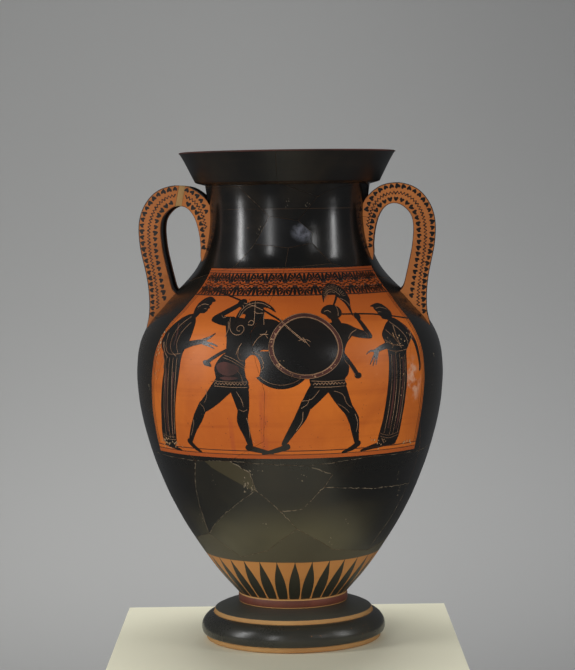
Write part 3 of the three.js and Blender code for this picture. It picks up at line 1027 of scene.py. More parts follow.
@dataclass(frozen=True)
class Finishes:
    """Every finish on the vase, built once."""

    gloss: bpy.types.Material
    neck: bpy.types.Material
    figure: bpy.types.Material
    panel: bpy.types.Material
    ornament: bpy.types.Material
    base_wall: bpy.types.Material
    broken: bpy.types.Material
    seam: bpy.types.Material
    inner: bpy.types.Material
    incised: bpy.types.Material
    red: bpy.types.Material
    added_red: bpy.types.Material
    outline: bpy.types.Material
    handle_clay: bpy.types.Material
    foot_clay: bpy.types.Material
    belly_fill: bpy.types.Material
    neck_fill: bpy.types.Material
    mend: bpy.types.Material
    flange_edge: bpy.types.Material
    foot_gloss: bpy.types.Material
    foot_top: bpy.types.Material
    ray_slip: bpy.types.Material
    scratch: bpy.types.Material
    loss: bpy.types.Material
    bare: bpy.types.Material

    @classmethod
    def make(cls) -> "Finishes":
        """Returns:
            The set of finishes.
        """
        return cls(
            gloss=GlossSlip("belly_gloss", dark=(0.008, 0.0076, 0.0066), olive=True).build(),
            neck=GlossSlip("neck_gloss", dark=(0.0048, 0.0047, 0.0044), low=0.11, high=0.21, wear=0.73,
                           bump=0.5).build(),
            figure=GlossSlip("figure_gloss", dark=(0.0065, 0.006, 0.0055), thin=(0.022, 0.012, 0.007), low=0.2,
                             high=0.3, wear=0.68, bump=0.2).build(),
            panel=PanelClay("panel_clay", scuff_and_shade=True).build(),
            # Band clay painted darker than the panel ground: painted shade on the shoulder.
            ornament=PanelClay("ornament_clay", base=(0.42, 0.088, 0.015), deep=(0.24, 0.042, 0.008)).build(),
            base_wall=BaseWall("ray_zone").build(),
            broken=Matt("broken_clay", (0.13, 0.07, 0.035), (0.04, 0.028, 0.018), (0.3, 0.17, 0.085), 0.75).build(),
            seam=Matt("filled_seam", (0.2, 0.075, 0.025), (0.1, 0.04, 0.016), (0.35, 0.2, 0.1), 0.7).build(),
            inner=InnerWall("inner_wall").build(),
            incised=Matt("incised_line", (0.36, 0.21, 0.12), (0.14, 0.066, 0.032), (0.04, 0.025, 0.016), 0.7, 500.0,
                         0.7).build(),
            red=Matt("red_band", (0.14, 0.036, 0.019), (0.085, 0.024, 0.014), (0.28, 0.11, 0.05), 0.45, 320.0,
                     0.3).build(),
            added_red=Matt("added_red", (0.075, 0.02, 0.014), (0.03, 0.012, 0.009), (0.17, 0.06, 0.03), 0.55, 420.0,
                           0.6).build(),
            outline=Matt("brown_line", (0.045, 0.014, 0.008), (0.022, 0.01, 0.007), (0.14, 0.04, 0.015), 0.5, 420.0,
                         0.4).build(),
            handle_clay=PanelClay("handle_clay", base=(0.41, 0.137, 0.035), deep=(0.27, 0.085, 0.024),
                                  pale=(0.54, 0.33, 0.14), low=0.5).build(),
            foot_clay=PanelClay("foot_clay", base=(0.44, 0.25, 0.095), deep=(0.35, 0.17, 0.062),
                                pale=(0.5, 0.33, 0.17), low=0.55).build(),
            belly_fill=GlossSlip("belly_fill", dark=(0.0095, 0.009, 0.0072), thin=(0.026, 0.021, 0.012), low=0.34,
                                 high=0.46, patch=True).build(),
            neck_fill=GlossSlip("neck_fill", dark=(0.0052, 0.0051, 0.0052), thin=(0.011, 0.0105, 0.0105), low=0.15,
                                high=0.26, wear=0.72, bump=0.45, painted_sheen=True).build(),
            mend=Matt("plaster_mend", (0.36, 0.22, 0.085), (0.28, 0.155, 0.055), (0.46, 0.33, 0.16), 0.7, 260.0,
                      0.4).build(),
            flange_edge=Matt("flange_edge", (0.17, 0.058, 0.02), (0.09, 0.032, 0.014), (0.3, 0.14, 0.05), 0.5, 300.0,
                             0.4).build(),
            foot_gloss=GlossSlip("foot_gloss", dark=(0.024, 0.0236, 0.0195), thin=(0.045, 0.04, 0.027), low=0.15,
                                 high=0.32, wear=0.64, bump=0.75).build(),
            # Lighter copy of the foot gloss for the upward face of the foot: painted light.
            foot_top=GlossSlip("foot_top_gloss", dark=(0.052, 0.053, 0.043), thin=(0.075, 0.066, 0.046), low=0.3,
                               high=0.42, wear=0.66, bump=0.5).build(),
            ray_slip=GlossSlip("ray_slip", dark=(0.021, 0.021, 0.0132), thin=(0.033, 0.029, 0.018), low=0.42,
                               high=0.52, wear=0.66).build(),
            scratch=Matt("scratched_slip", (0.2, 0.16, 0.11), (0.1, 0.085, 0.06), (0.34, 0.26, 0.17), 0.65, 500.0,
                         0.5).build(),
            loss=Matt("lost_paint", (0.46, 0.31, 0.17), (0.36, 0.2, 0.09), (0.6, 0.5, 0.36), 0.7, 500.0, 0.5).build(),
            bare=Matt("bare_clay", (0.3, 0.14, 0.06), (0.21, 0.09, 0.04), (0.4, 0.24, 0.12), 0.75, 240.0,
                      0.4).build(),
        )


# --------------------------------------------------------------------------------------
# Wall fragments
# --------------------------------------------------------------------------------------
@dataclass
class Fragments:
    """The broken wall, one piece per fragment, each with its own thickness and chipped edge."""

    vessel: Vessel
    breaks: Breaks
    finishes: Finishes
    edge: float = 0.32

    def look(self, name: str) -> tuple[bpy.types.Material, bpy.types.Material, Slot]:
        """Args:
            name: Fragment name.

        Returns:
            Outer finish, edge finish and slot.
        """
        f = self.finishes
        if name == "belly_fill":
            return f.belly_fill, f.broken, Slot.FILL
        if name == "neck_patch":
            return f.neck_fill, f.broken, Slot.FILL
        if name == "base_ring":
            return f.base_wall, f.broken, Slot.CLAY
        if name.startswith(("neck", "mouth")):
            return f.neck, f.broken, Slot.GLOSS
        if name.startswith("panel"):
            return f.gloss, f.seam, Slot.CLAY
        return f.gloss, f.broken, Slot.GLOSS

    def build(self) -> None:
        """Builds every fragment."""
        for name, outline in self.breaks.outlines.items():
            self.fragment(name, outline)

    def fragment(self, name: str, outline: Outline) -> None:
        """Cuts, wraps and chips one fragment.

        Args:
            name: Fragment and CAD node name.
            outline: Its flat outline.
        """
        xs, ys = [p[0] for p in outline], [min(p[1], MOUTH_TOP) for p in outline]
        sheet = Sheet.grid((min(xs), min(ys)), (max(xs), max(ys)))
        levels = [y for y in (54.0, 58.0, 521.4, 522.0, 522.8, 524.4, 525.3, 526.2, MOUTH_TOP)
                  if min(ys) < y <= max(ys) + 0.1]
        sheet.rule(ys=levels)
        whole = name == "base_ring"
        clipped = [(x, min(y, MOUTH_TOP)) for x, y in outline]
        sheet.score(clipped)
        sheet.keep([clipped])
        sheet.wrap(self.vessel.outer, self.vessel.inner)
        bm = sheet.bm
        if whole:
            bmesh.ops.remove_doubles(bm, verts=bm.verts[:], dist=2e-6)
            seam = [f for f in bm.faces if f.material_index == 1 and abs(f.normal.z) < 0.3
                    and f.calc_center_median().z > 0.056
                    and all(len(e.link_faces) > 2 or abs(e.verts[0].co.z - e.verts[1].co.z) < 1e-6 for e in f.edges)]
            bmesh.ops.delete(bm, geom=seam, context="FACES")
        rim = EDGE_ROUNDING * MM
        chip, lip = [], []
        for e in bm.edges:
            kinds = sorted(f.material_index for f in e.link_faces)
            if kinds == [0, 1]:
                (lip if min(v.co.z for v in e.verts) > rim else chip).append(e)
            elif kinds == [1, 2] and min(v.co.z for v in e.verts) > rim:
                lip.append(e)
        for f in bm.faces:
            if f.material_index == 1 and min(v.co.z for v in f.verts) > rim:
                f.material_index = 0
        if chip:
            bmesh.ops.bevel(bm, geom=chip, offset=self.edge * MM * (0.5 if name.startswith("panel") else 1.0),
                            offset_type="OFFSET",
                            segments=1, profile=0.5, affect="EDGES", material=1, clamp_overlap=True)
        lip = [e for e in bm.edges if min(v.co.z for v in e.verts) > rim and len(e.link_faces) == 2
               and e.calc_face_angle(0) > 0.7
               and abs(e.verts[0].co.z - e.verts[1].co.z) < 0.4 * MM]
        if lip:
            bmesh.ops.bevel(bm, geom=lip, offset=0.9 * MM, offset_type="OFFSET", segments=3, profile=0.5,
                            affect="EDGES", material=-1, clamp_overlap=True)
        outer, edge, slot = self.look(name)
        add_piece(name, bm, [outer, edge, self.finishes.inner], [name])


@dataclass
class Turned:
    """Pieces turned on the wheel: the foot, the fillet, the vessel floor and the lip line."""

    finishes: Finishes
    steps: int = 144

    def spin(self, profile: Sequence[Point], bands: Callable[[float, float], int]) -> bmesh.types.BMesh:
        """Spins a closed profile about the axis.

        Args:
            profile: (radius, height) points in order.
            bands: Material index for a face from its radius and height.

        Returns:
            The mesh.
        """
        bm = bmesh.new()
        verts = [bm.verts.new((r * MM, 0, z * MM)) for r, z in profile]
        edges = [bm.edges.new((a, b)) for a, b in zip(verts, verts[1:] + verts[:1]) if not (a.co.x == 0
            and b.co.x == 0)]
        bmesh.ops.spin(bm, geom=[*verts, *edges], cent=(0, 0, 0), axis=(0, 0, 1), angle=math.tau, steps=self.steps,
                       use_merge=True)
        bmesh.ops.remove_doubles(bm, verts=bm.verts[:], dist=1e-6)
        bmesh.ops.recalc_face_normals(bm, faces=bm.faces[:])
        for f in bm.faces:
            c = f.calc_center_median()
            f.material_index = bands(math.hypot(c.x, c.y) / MM, c.z / MM)
        return bm

    def build(self) -> None:
        """Builds the turned pieces."""
        f = self.finishes
        foot = smooth([(83.5, 0), (84.3, 0)], 1, False) + [(96.2, 0)]
        foot += smooth([(96.2, 0), (99.4, 0.5), (100.9, 2.4), (101.2, 6.3)], 3, False)[1:]
        foot += smooth([(101.8, 6.7), (104.6, 8.2), (106.1, 12.5), (105.8, 17.5), (103.6, 22.6), (99.9, 27),
                        (95.6, 29.6), (91.6, 30.9)], 4, False)
        foot += [(91.0, 31.3), (90.7, 34.3), (90.2, 35.1), (89.2, 35.8)]
        foot += smooth([(88.4, 36.2), (83, 38.6), (76, 40.7), (69, 42.2), (62.2, 43)], 3, False)
        foot += [(48, 43), (46.4, 41.5)] + smooth([(46.2, 38), (52, 34.6), (61, 29.6), (69, 22.4), (76.5, 12.6),
                                                   (82.8, 1)], 4, False)

        def foot_band(r: float, z: float) -> int:
            if r < 61 or (r < 84.2 and z < 36) or z < 0.2:
                return 2
            if z < 6.5 or (90.0 < r < 92.5 and 30.7 < z < 35.3):
                return 1
            # Index 3, the upward face of the foot, takes the lighter gloss that paints light on it.
            return 3 if r < 90.5 and z > 34.0 else 0

        add_piece("foot", self.spin(foot, foot_band), [f.foot_gloss, f.foot_clay, f.bare, f.foot_top],
                  ["foot"], 50)
        fillet = [(47, 43.3), (61.6, 43.3), (62.3, 43.6), (62.6, 44.4), (62.95, 45.2), (63.0, 48.4), (62.9, 51.6),
                  (62.5, 52.4), (62.3, 53.2), (61.9, 53.7), (47, 53.7)]
        add_piece("foot_fillet", self.spin(fillet, lambda r, z: 1 if r > 55 and (z < 44.5 or z > 52.4) else 0
            if r > 55 else 2),
                  [f.red, f.foot_clay, f.bare], ["foot_fillet"])
        floor = [(0, 54.1), (60.5, 54.1), (61.6, 55.2), (64, 63), (60, 66.5), (50, 64.8), (30, 63.6), (0, 63.2)]
        add_piece("vessel_floor", self.spin(floor, lambda r, z: 0), [f.bare])
        rim = [(122.3, 559.86), (123.75, 559.3), (124.0, 558.6), (123.7, 558.2), (122.8, 558.4)]
        add_piece("rim_line", self.spin(rim, lambda r, z: 0), [f.added_red])


# --------------------------------------------------------------------------------------
# Painted decoration
# --------------------------------------------------------------------------------------
@dataclass
class Drawing:
    """Shapes in one slip, laid on the wall and broken where the wall is broken."""

    name: str
    vessel: Vessel
    breaks: Breaks
    finish: bpy.types.Material
    lift: float
    turn: float = BREAK_TURN
    slot: Slot = Slot.CLAY
    shapes: list[Outline] = field(default_factory=list)
    step: float = 0.014

    def add(self, *outlines: Outline) -> "Drawing":
        """Adds closed outlines, (mm across, height), and returns this drawing."""
        self.shapes.extend(outlines)
        return self

    def flat(self, outline: Outline) -> Outline:
        """Outline in flat units, from millimetres across."""
        return [((math.degrees(x / UNROLL_RADIUS) + self.turn) * FLAT_PER_DEG, z) for x, z in outline]

    def build(self) -> bpy.types.Object | None:
        """Returns:
            The piece, or nothing if the drawing is empty.
        """
        parts = []
        for i, shape in enumerate(self.shapes):
            flat = self.flat(shape)
            x0, x1, y0, y1 = (f(p[k] for p in flat) for k in (0, 1) for f in (min, max))
            if x1 - x0 > 150:
                sheet = Sheet.grid((x0, y0), (x1, y1))
                sheet.score(flat)
                sheet.keep([flat])
            else:
                sheet = Sheet.filled(flat)
                if x1 - x0 > 7 or y1 - y0 > 7:
                    sheet.rule([6.0 * k for k in range(math.ceil(x0 / 6), math.floor(x1 / 6) + 1)],
                               [6.0 * k for k in range(math.ceil(y0 / 6), math.floor(y1 / 6) + 1)])
            self.crack(sheet, (x0, x1, y0, y1))
            if not sheet.bm.faces:
                sheet.bm.free()
                continue
            lift = self.lift + self.step * (i % 9)
            sheet.wrap(lambda d, z, h=lift: self.vessel.outer(d, z, h), lambda d, z,
                       h=lift: self.vessel.outer(d, z, h - 0.1 if h > 0.12 else -0.02))
            parts.append(sheet.bm)
        if not parts:
            return None
        bm = join(parts)
        for f in bm.faces:
            f.material_index = 0
        return add_piece(self.name, bm, [self.finish])

    def crack(self, sheet: Sheet, box: tuple[float, float, float, float]) -> None:
        """Opens the breaks in a flat shape.

        Args:
            sheet: The shape.
            box: Its extent.
        """
        x0, x1, y0, y1 = box
        near: list[Outline] = []
        for outline in self.breaks.outlines.values():
            for turn in (-360.0, 0.0, 360.0):
                o = [(x + turn * FLAT_PER_DEG, y) for x, y in outline] if turn else outline
                xs, ys = [p[0] for p in o], [p[1] for p in o]
                if min(xs) < x1 and max(xs) > x0 and min(ys) < y1 and max(ys) > y0:
                    near.append(o)
        if len(near) == 1:
            return
        for o in near:
            if all(inside((v.co.x, v.co.y), o) for v in sheet.bm.verts) and not any(
                    inside(p, [(x0, y0), (x1, y0), (x1, y1), (x0, y1)]) for p in o):
                return
        for o in near:
            sheet.score(o)
        sheet.keep(near)


@dataclass
class Frame:
    """Picture panel: its orange ground, borders and bands, on one side of the belly."""

    vessel: Vessel
    breaks: Breaks
    finishes: Finishes
    name: str
    turn: float
    left: Outline
    right: Outline
    top: float = 429.6
    bottom: float = 226.6

    def edge(self, side: Outline, z: float, move: float = 0.0) -> float:
        """Millimetres across at the unrolled radius."""
        deg = along(side, z) + math.degrees(move / self.vessel.radius(z))
        return math.radians(deg) * UNROLL_RADIUS

    def field_outline(self, low: float, high: float, move: float = 0.0) -> Outline:
        """Args:
            low: Lower height.
            high: Upper height.
            move: Inset, mm.

        Returns:
            Outline of the panel between two heights.
        """
        n = max(2, int((high - low) / 5))
        zs = [low + (high - low) * k / n for k in range(n + 1)]
        right = [(self.edge(self.right, z, -move), z) for z in zs]
        left = [(self.edge(self.left, z, move), z) for z in zs]
        bow = [(left[-1][0] + (right[-1][0] - left[-1][0]) * k / 12, high) for k in range(1, 12)][::-1]
        sag = [(left[0][0] + (right[0][0] - left[0][0]) * k / 12, low) for k in range(1, 12)]
        return sag + right + bow + left[::-1]

    def draw(self, suffix: str, finish: bpy.types.Material, lift: float) -> Drawing:
        """An empty drawing."""
        return Drawing(f"{self.name}_{suffix}", self.vessel, self.breaks, finish, lift, self.turn)

    def build(self) -> None:
        """Builds the ground, border lines and ornament."""
        f = self.finishes
        self.draw("ground", f.panel, 0.05).add(self.field_outline(self.bottom, 401.0)).build()
        self.draw("band_ground", f.ornament, 0.05).add(self.field_outline(401.2, self.top)).build()
        lines = self.draw("lines", f.outline, 0.13)
        lines.add(*self.level(424.6, 0.9), *self.level(427.0, 0.5), *self.level(401.2, 1.1), *self.level(235.2, 0.9),
                  *self.level(231.0, 0.7))
        for side, sign in ((self.left, 1.0), (self.right, -1.0)):
            for inset in (2.0, 5.0):
                zs = [236 + k * 8.2 for k in range(21)]
                lines.add(line([(self.edge(side, z,
                    sign * (inset + 0.25 * noise.noise(Vector((z * 0.05, inset, sign))))), z) for z in zs], 0.65, 2))
        lines.build()
        self.chain()

    def level(self, z: float, width: float) -> list[Outline]:
        """Args:
            z: Height.
            width: Line width.

        Returns:
            A level line across the panel, in lengths.
        """
        a, b = self.edge(self.left, z, 0.6), self.edge(self.right, z, -0.6)
        n = 6
        out = []
        for k in range(n):
            x0, x1 = a + (b - a) * k / n, a + (b - a) * (k + 1) / n
            out.append(line([(x0 + (x1 - x0) * s / 4,
                              z + 0.2 * noise.noise(Vector(((x0 + (x1 - x0) * s / 4) * 0.04, z, 0))))
                              for s in range(5)], width, 2))
        return out

    def chain(self) -> None:
        """Palmettes and lotus buds, point up and point down, on a linked chain."""
        f = self.finishes
        black, red, thin = self.draw("palmettes", f.figure, 0.13), self.draw("palmette_hearts", f.added_red,
            0.3), self.draw("chain", f.figure, 0.28)
        dots = self.draw("band_dots", f.incised, 0.42)
        low, mid, high = 401.6, 412.8, 424.2
        start, end = math.degrees(self.edge(self.left, mid, 3) / UNROLL_RADIUS), math.degrees(self.edge(self.right,
            mid, -3) / UNROLL_RADIUS)
        count = 21
        pitch = (end - start) / count
        for k in range(count):
            for up in (1, -1):
                palm = (k + (up < 0)) % 2 == 0
                for shape, kind in self.palmette() if palm else self.lotus():
                    placed = []
                    for x, y in shape:
                        z = mid + up * (0.9 + y * (high - mid - 1.1) / 10.0)
                        squeeze = 118.0 / self.vessel.radius(z) * (1.0 if up > 0 else 1.06)
                        a, b = self.edge(self.left, z, 3), self.edge(self.right, z, -3)
                        u = a + (b - a) * (k + 0.5) / count
                        placed.append((u + x * squeeze * pitch / 4.9 * (UNROLL_RADIUS / 118.0) * 1.12, z))
                    (black if kind == 0 else red).add(placed)
            a, b = self.edge(self.left, mid, 3), self.edge(self.right, mid, -3)
            u0, w = a + (b - a) * k / count, (b - a) / count
            for phase in (0.0, math.pi):
                thin.add(line([(u0 + w * s / 6, mid + 1.25 * math.sin(phase + math.pi * (k + s / 6)))
                               for s in range(7)], 0.62, 1))
            dots.add(ellipse(u0 + w / 2, mid, 0.62, 0.5, 8))
            for up in (1, -1):
                zs = mid + up * 10.2
                ends = self.edge(self.left, zs, 3), self.edge(self.right, zs, -3)
                u = ends[0] + (ends[1] - ends[0]) * k / count
                if k:
                    black.add(stroke([(u, mid + up * 11.2, 1.3), (u, mid + up * 9.0, 0.5)], 2, 1))
                for side in (-1, 1):
                    x = a + (b - a) * (k + 0.5 + 0.3 * side) / count
                    dots.add(ellipse(x, mid + up * 3.4, 0.42, 0.5, 8))
        for d in (black, red, thin, dots):
            d.build()

    @staticmethod
    def palmette() -> list[tuple[Outline, int]]:
        """Returns:
            Petals (0) and heart (1) about a foot at the origin, 10 high.
        """
        out: list[tuple[Outline, int]] = []
        for a, length, w in ((0, 6.9, 2.1), (28, 6.5, 1.95), (-28, 6.5, 1.95), (56, 5.6, 1.85), (-56, 5.6, 1.85),
                             (88, 4.6, 1.6), (-88, 4.6, 1.6)):
            s, c = math.sin(math.radians(a)), math.cos(math.radians(a))
            out.append((stroke([(s * 1.5, 3.1 + c * 1.5, 0.45), (s * length * 0.7, 3.1 + c * length * 0.7, w),
                                (s * length, 3.1 + c * length, w * 0.75)], 2, 1), 0))
        out.append((ellipse(0, 2.9, 1.25, 1.15, 10), 1))
        for s in (-1, 1):
            out.append((ellipse(s * 1.7, 0.9, 0.75, 0.8, 8), 0))
        return out

    @staticmethod
    def lotus() -> list[tuple[Outline, int]]:
        """Returns:
            Sepals (0) and cup (1) of a lotus bud, 10 high.
        """
        out: list[tuple[Outline, int]] = [(stroke([(0, 2.4, 1.4), (0, 6.6, 3.0), (0, 10.2, 1.3)], 3, 1), 0)]
        for s in (-1, 1):
            out.append((stroke([(s * 0.7, 1.2, 1.8), (s * 2.6, 4.0, 2.5), (s * 3.2, 7.0, 2.1), (s * 4.5, 10.2, 1.6)],
                               2, 1), 0))
            out.append((ellipse(s * 4.6, 2.6, 1.0, 1.2, 8), 0))
        out.append((smooth([(-1.2, 0.7), (0, 0.2), (1.2, 0.7), (0.8, 2.0), (-0.8, 2.0)], 2), 1))
        return out


@dataclass
class Rays:
    """Black rays that rise from the fillet round the foot of the body."""

    vessel: Vessel
    breaks: Breaks
    finishes: Finishes
    count: int = 32

    def build(self) -> None:
        """Builds the ring of rays."""
        art = Drawing("rays", self.vessel, self.breaks, self.finishes.ray_slip, 0.06, BREAK_TURN + 1.2, step=0.0,
                      slot=Slot.GLOSS)
        rows = [(54.6, 0.80), (58, 0.88), (63, 0.90), (69, 0.86), (75, 0.78), (81, 0.65), (87, 0.48), (92, 0.32),
                (97, 0.16), (101, 0.06), (103.2, 0.02)]
        rng = random.Random(4)
        for k in range(self.count):
            mid = 360.0 / self.count * k - 180.0
            lean, grow = rng.uniform(-0.35, 0.35), rng.uniform(0.95, 1.03)
            half = 180.0 / self.count
            right = [(mid + lean * (z - 54) / 48 + half * w * grow, z) for z, w in rows]
            left = [(mid + lean * (z - 54) / 48 - half * w * grow, z) for z, w in rows]
            art.add([(math.radians(d) * UNROLL_RADIUS, z) for d, z in right + left[::-1]])
        art.build()


@dataclass
class Figure:
    """A painted figure: black slip, added red and incised lines."""

    vessel: Vessel
    breaks: Breaks
    finishes: Finishes
    name: str
    turn: float = BREAK_TURN
    lift: float = 0.16

    def slip(self) -> list[Outline]:
        """Black shapes."""
        return []

    def red(self) -> list[Outline]:
        """Red shapes."""
        return []

    def lines(self) -> list[Outline]:
        """Incised lines."""
        return []

    def build(self) -> None:
        """Builds the figure's pieces."""
        f = self.finishes
        for suffix, shapes, finish, lift in (("slip", self.slip(), f.figure, self.lift),
            ("red", self.red(), f.added_red, self.lift + 0.13), ("lines", self.lines(), f.incised, self.lift + 0.22)):
            if shapes:
                Drawing(f"{self.name}_{suffix}", self.vessel, self.breaks, finish, lift,
                        self.turn).add(*shapes).build()


class Striker(Figure):
    """Warrior who lunges to the right with his spear raised over his head."""

    def slip(self) -> list[Outline]:
        """Returns:
            Black shapes.
        """
        return [
            smooth([(-78, 376), (-66, 378), (-50, 377.5), (-34, 377), (-20, 376.5), (-12, 372), (-16, 358),
                    (-24, 348), (-38, 341), (-47, 334), (-60, 335), (-70, 338), (-70, 346), (-72, 358)]),
            smooth([(-71, 341), (-79, 333), (-82.5, 325), (-81, 317), (-80, 311), (-82, 306), (-64, 303.5),
                    (-44, 303), (-46, 314), (-48, 325), (-47, 336), (-58, 342)]),
            stroke([(-70, 309, 24), (-85, 293, 18), (-99, 281, 11)]),
            stroke([(-97, 285, 11), (-106, 270, 12), (-115, 256, 8.2), (-122, 243, 5)]),
            stroke([(-124, 243, 6.5), (-118, 237, 5), (-109, 231.5, 2.2)]),
            stroke([(-55, 309, 23), (-52, 293, 17.5), (-50, 279, 12)]),
            stroke([(-50, 283, 11.5), (-52, 268, 12.5), (-48, 253, 8.2), (-45, 241, 5.5)]),
            stroke([(-48, 239, 7), (-36, 236, 5.5), (-20, 233, 2.2)]),
            stroke([(-70, 374, 10.5), (-84, 375, 8.8), (-96, 377, 6.5)]),
            stroke([(-96.5, 377, 6.6), (-83, 384, 6.4), (-68, 391.5, 5.2)]),
            smooth([(-71, 393), (-66, 397.5), (-59, 396.5), (-58, 391), (-64, 388.5)]),
            stroke([(-43, 371, 13), (-42, 381, 13)]),
            smooth([(-55, 377), (-54, 385), (-50, 391), (-42, 393), (-35, 390), (-31.5, 384), (-31.5, 376),
                    (-36, 371), (-44, 369), (-50, 371)]),
            smooth([(-17, 383.6), (-21, 388.5), (-27, 392), (-35, 395), (-44, 396), (-53, 395), (-60, 391.5),
                    (-65, 385.5), (-67, 377.5), (-63, 377.6), (-60.5, 381.5), (-56, 381.6), (-52, 379), (-46, 386),
                    (-36, 388.5), (-27, 388)]),
            stroke([(-141, 411, 1.0), (-110, 405, 1.3), (-80, 399, 1.6), (-62, 394.5, 1.8)]),
            stroke([(-36, 387.5, 1.8), (-20, 380, 2.0), (-8, 374, 2.0)]),
            stroke([(-64, 347, 3.6), (-78, 340, 3.6), (-90, 332.5, 4.0)]),
            smooth([(-97, 332), (-92, 333.5), (-87.5, 330), (-86.5, 326.5), (-91, 327), (-95, 328)]),
        ]

    def red(self) -> list[Outline]:
        """Returns:
            Red shapes.
        """
        return [
            smooth([(-80, 328), (-72, 332), (-62, 330), (-54, 326), (-57, 320), (-66, 317), (-76, 320)]),
            smooth([(-76, 315), (-66, 316.5), (-55, 315), (-60, 313), (-70, 312.5)]),
        ]

    def lines(self) -> list[Outline]:
        """Returns:
            Incised lines.
        """
        spiral = [(-74, 378), (-71.5, 370), (-68, 364), (-62, 360.5), (-56, 361), (-52.7, 365), (-54, 369),
                  (-58, 370.3), (-61.5, 368), (-60.5, 364.8), (-57.5, 364.5)]
        hem = [(-82 + k * 1.9, 308.5 + (1.1 if k % 2 else -1.1)) for k in range(20)]
        return [line(p, w, 3) for p, w in (
            (spiral, 0.45), (hem, 0.45), ([(-82, 311.5), (-64, 310.5), (-45, 311)], 0.4),
            ([(-82, 306), (-64, 305), (-45, 305)], 0.4),
            ([(-71, 339), (-60, 335), (-50, 329), (-47, 326)], 0.5), ([(-72, 336.5), (-60, 332), (-48, 325)], 0.4),
            ([(-49, 373), (-46, 375.5), (-42, 373), (-44, 370.5), (-49, 371)], 0.45),
            ([(-53, 351.5), (-56, 346), (-58, 340)], 0.5), ([(-55, 349), (-56, 339), (-53, 334), (-48, 333)], 0.4),
            ([(-42, 373), (-43.5, 382), (-46, 393.5)], 0.5), ([(-45, 384.5), (-40, 382.6), (-33, 383)], 0.45),
            ([(-31.5, 383), (-31, 377), (-29.6, 371)], 0.5), ([(-40, 349), (-36, 356), (-30, 360.5), (-24, 361)],
                0.45), ([(-33, 361), (-27.5, 361.5), (-25.5, 365)], 0.45), ([(-27, 361), (-24, 357)], 0.45),
            ([(-93, 302), (-92, 294), (-96, 287)], 0.4), ([(-101, 286), (-97, 282), (-96, 278)], 0.4),
            ([(-112, 268), (-114, 260), (-119, 250)], 0.4),
            ([(-57, 300), (-52, 292), (-50, 284)], 0.4), ([(-55, 281), (-50, 279), (-46, 281)], 0.4),
            ([(-47, 272), (-45, 262), (-45, 250)], 0.4),
            ([(-75, 374), (-72, 366), (-74, 358)], 0.4), ([
                (-64, 379), (-62, 386), (-55, 391.5), (-45, 393.5), (-34, 392.5),
                (-24, 388.5)], 0.4), ([(-62, 379), (-58.5, 385.5), (-52, 389.5), (-44, 391)], 0.35),
            ([(-60, 388), (-62, 391)], 0.35), ([(-53, 391), (-54, 394.6)], 0.35),
            ([(-46, 393.4), (-46, 395.6)], 0.35), ([(-62, 393.5), (-46, 390), (-34, 386)], 0.4),
            ([(-88, 381), (-84, 378), (-80, 379)], 0.35), ([(-56, 323), (-52, 318), (-50, 312)], 0.35))]


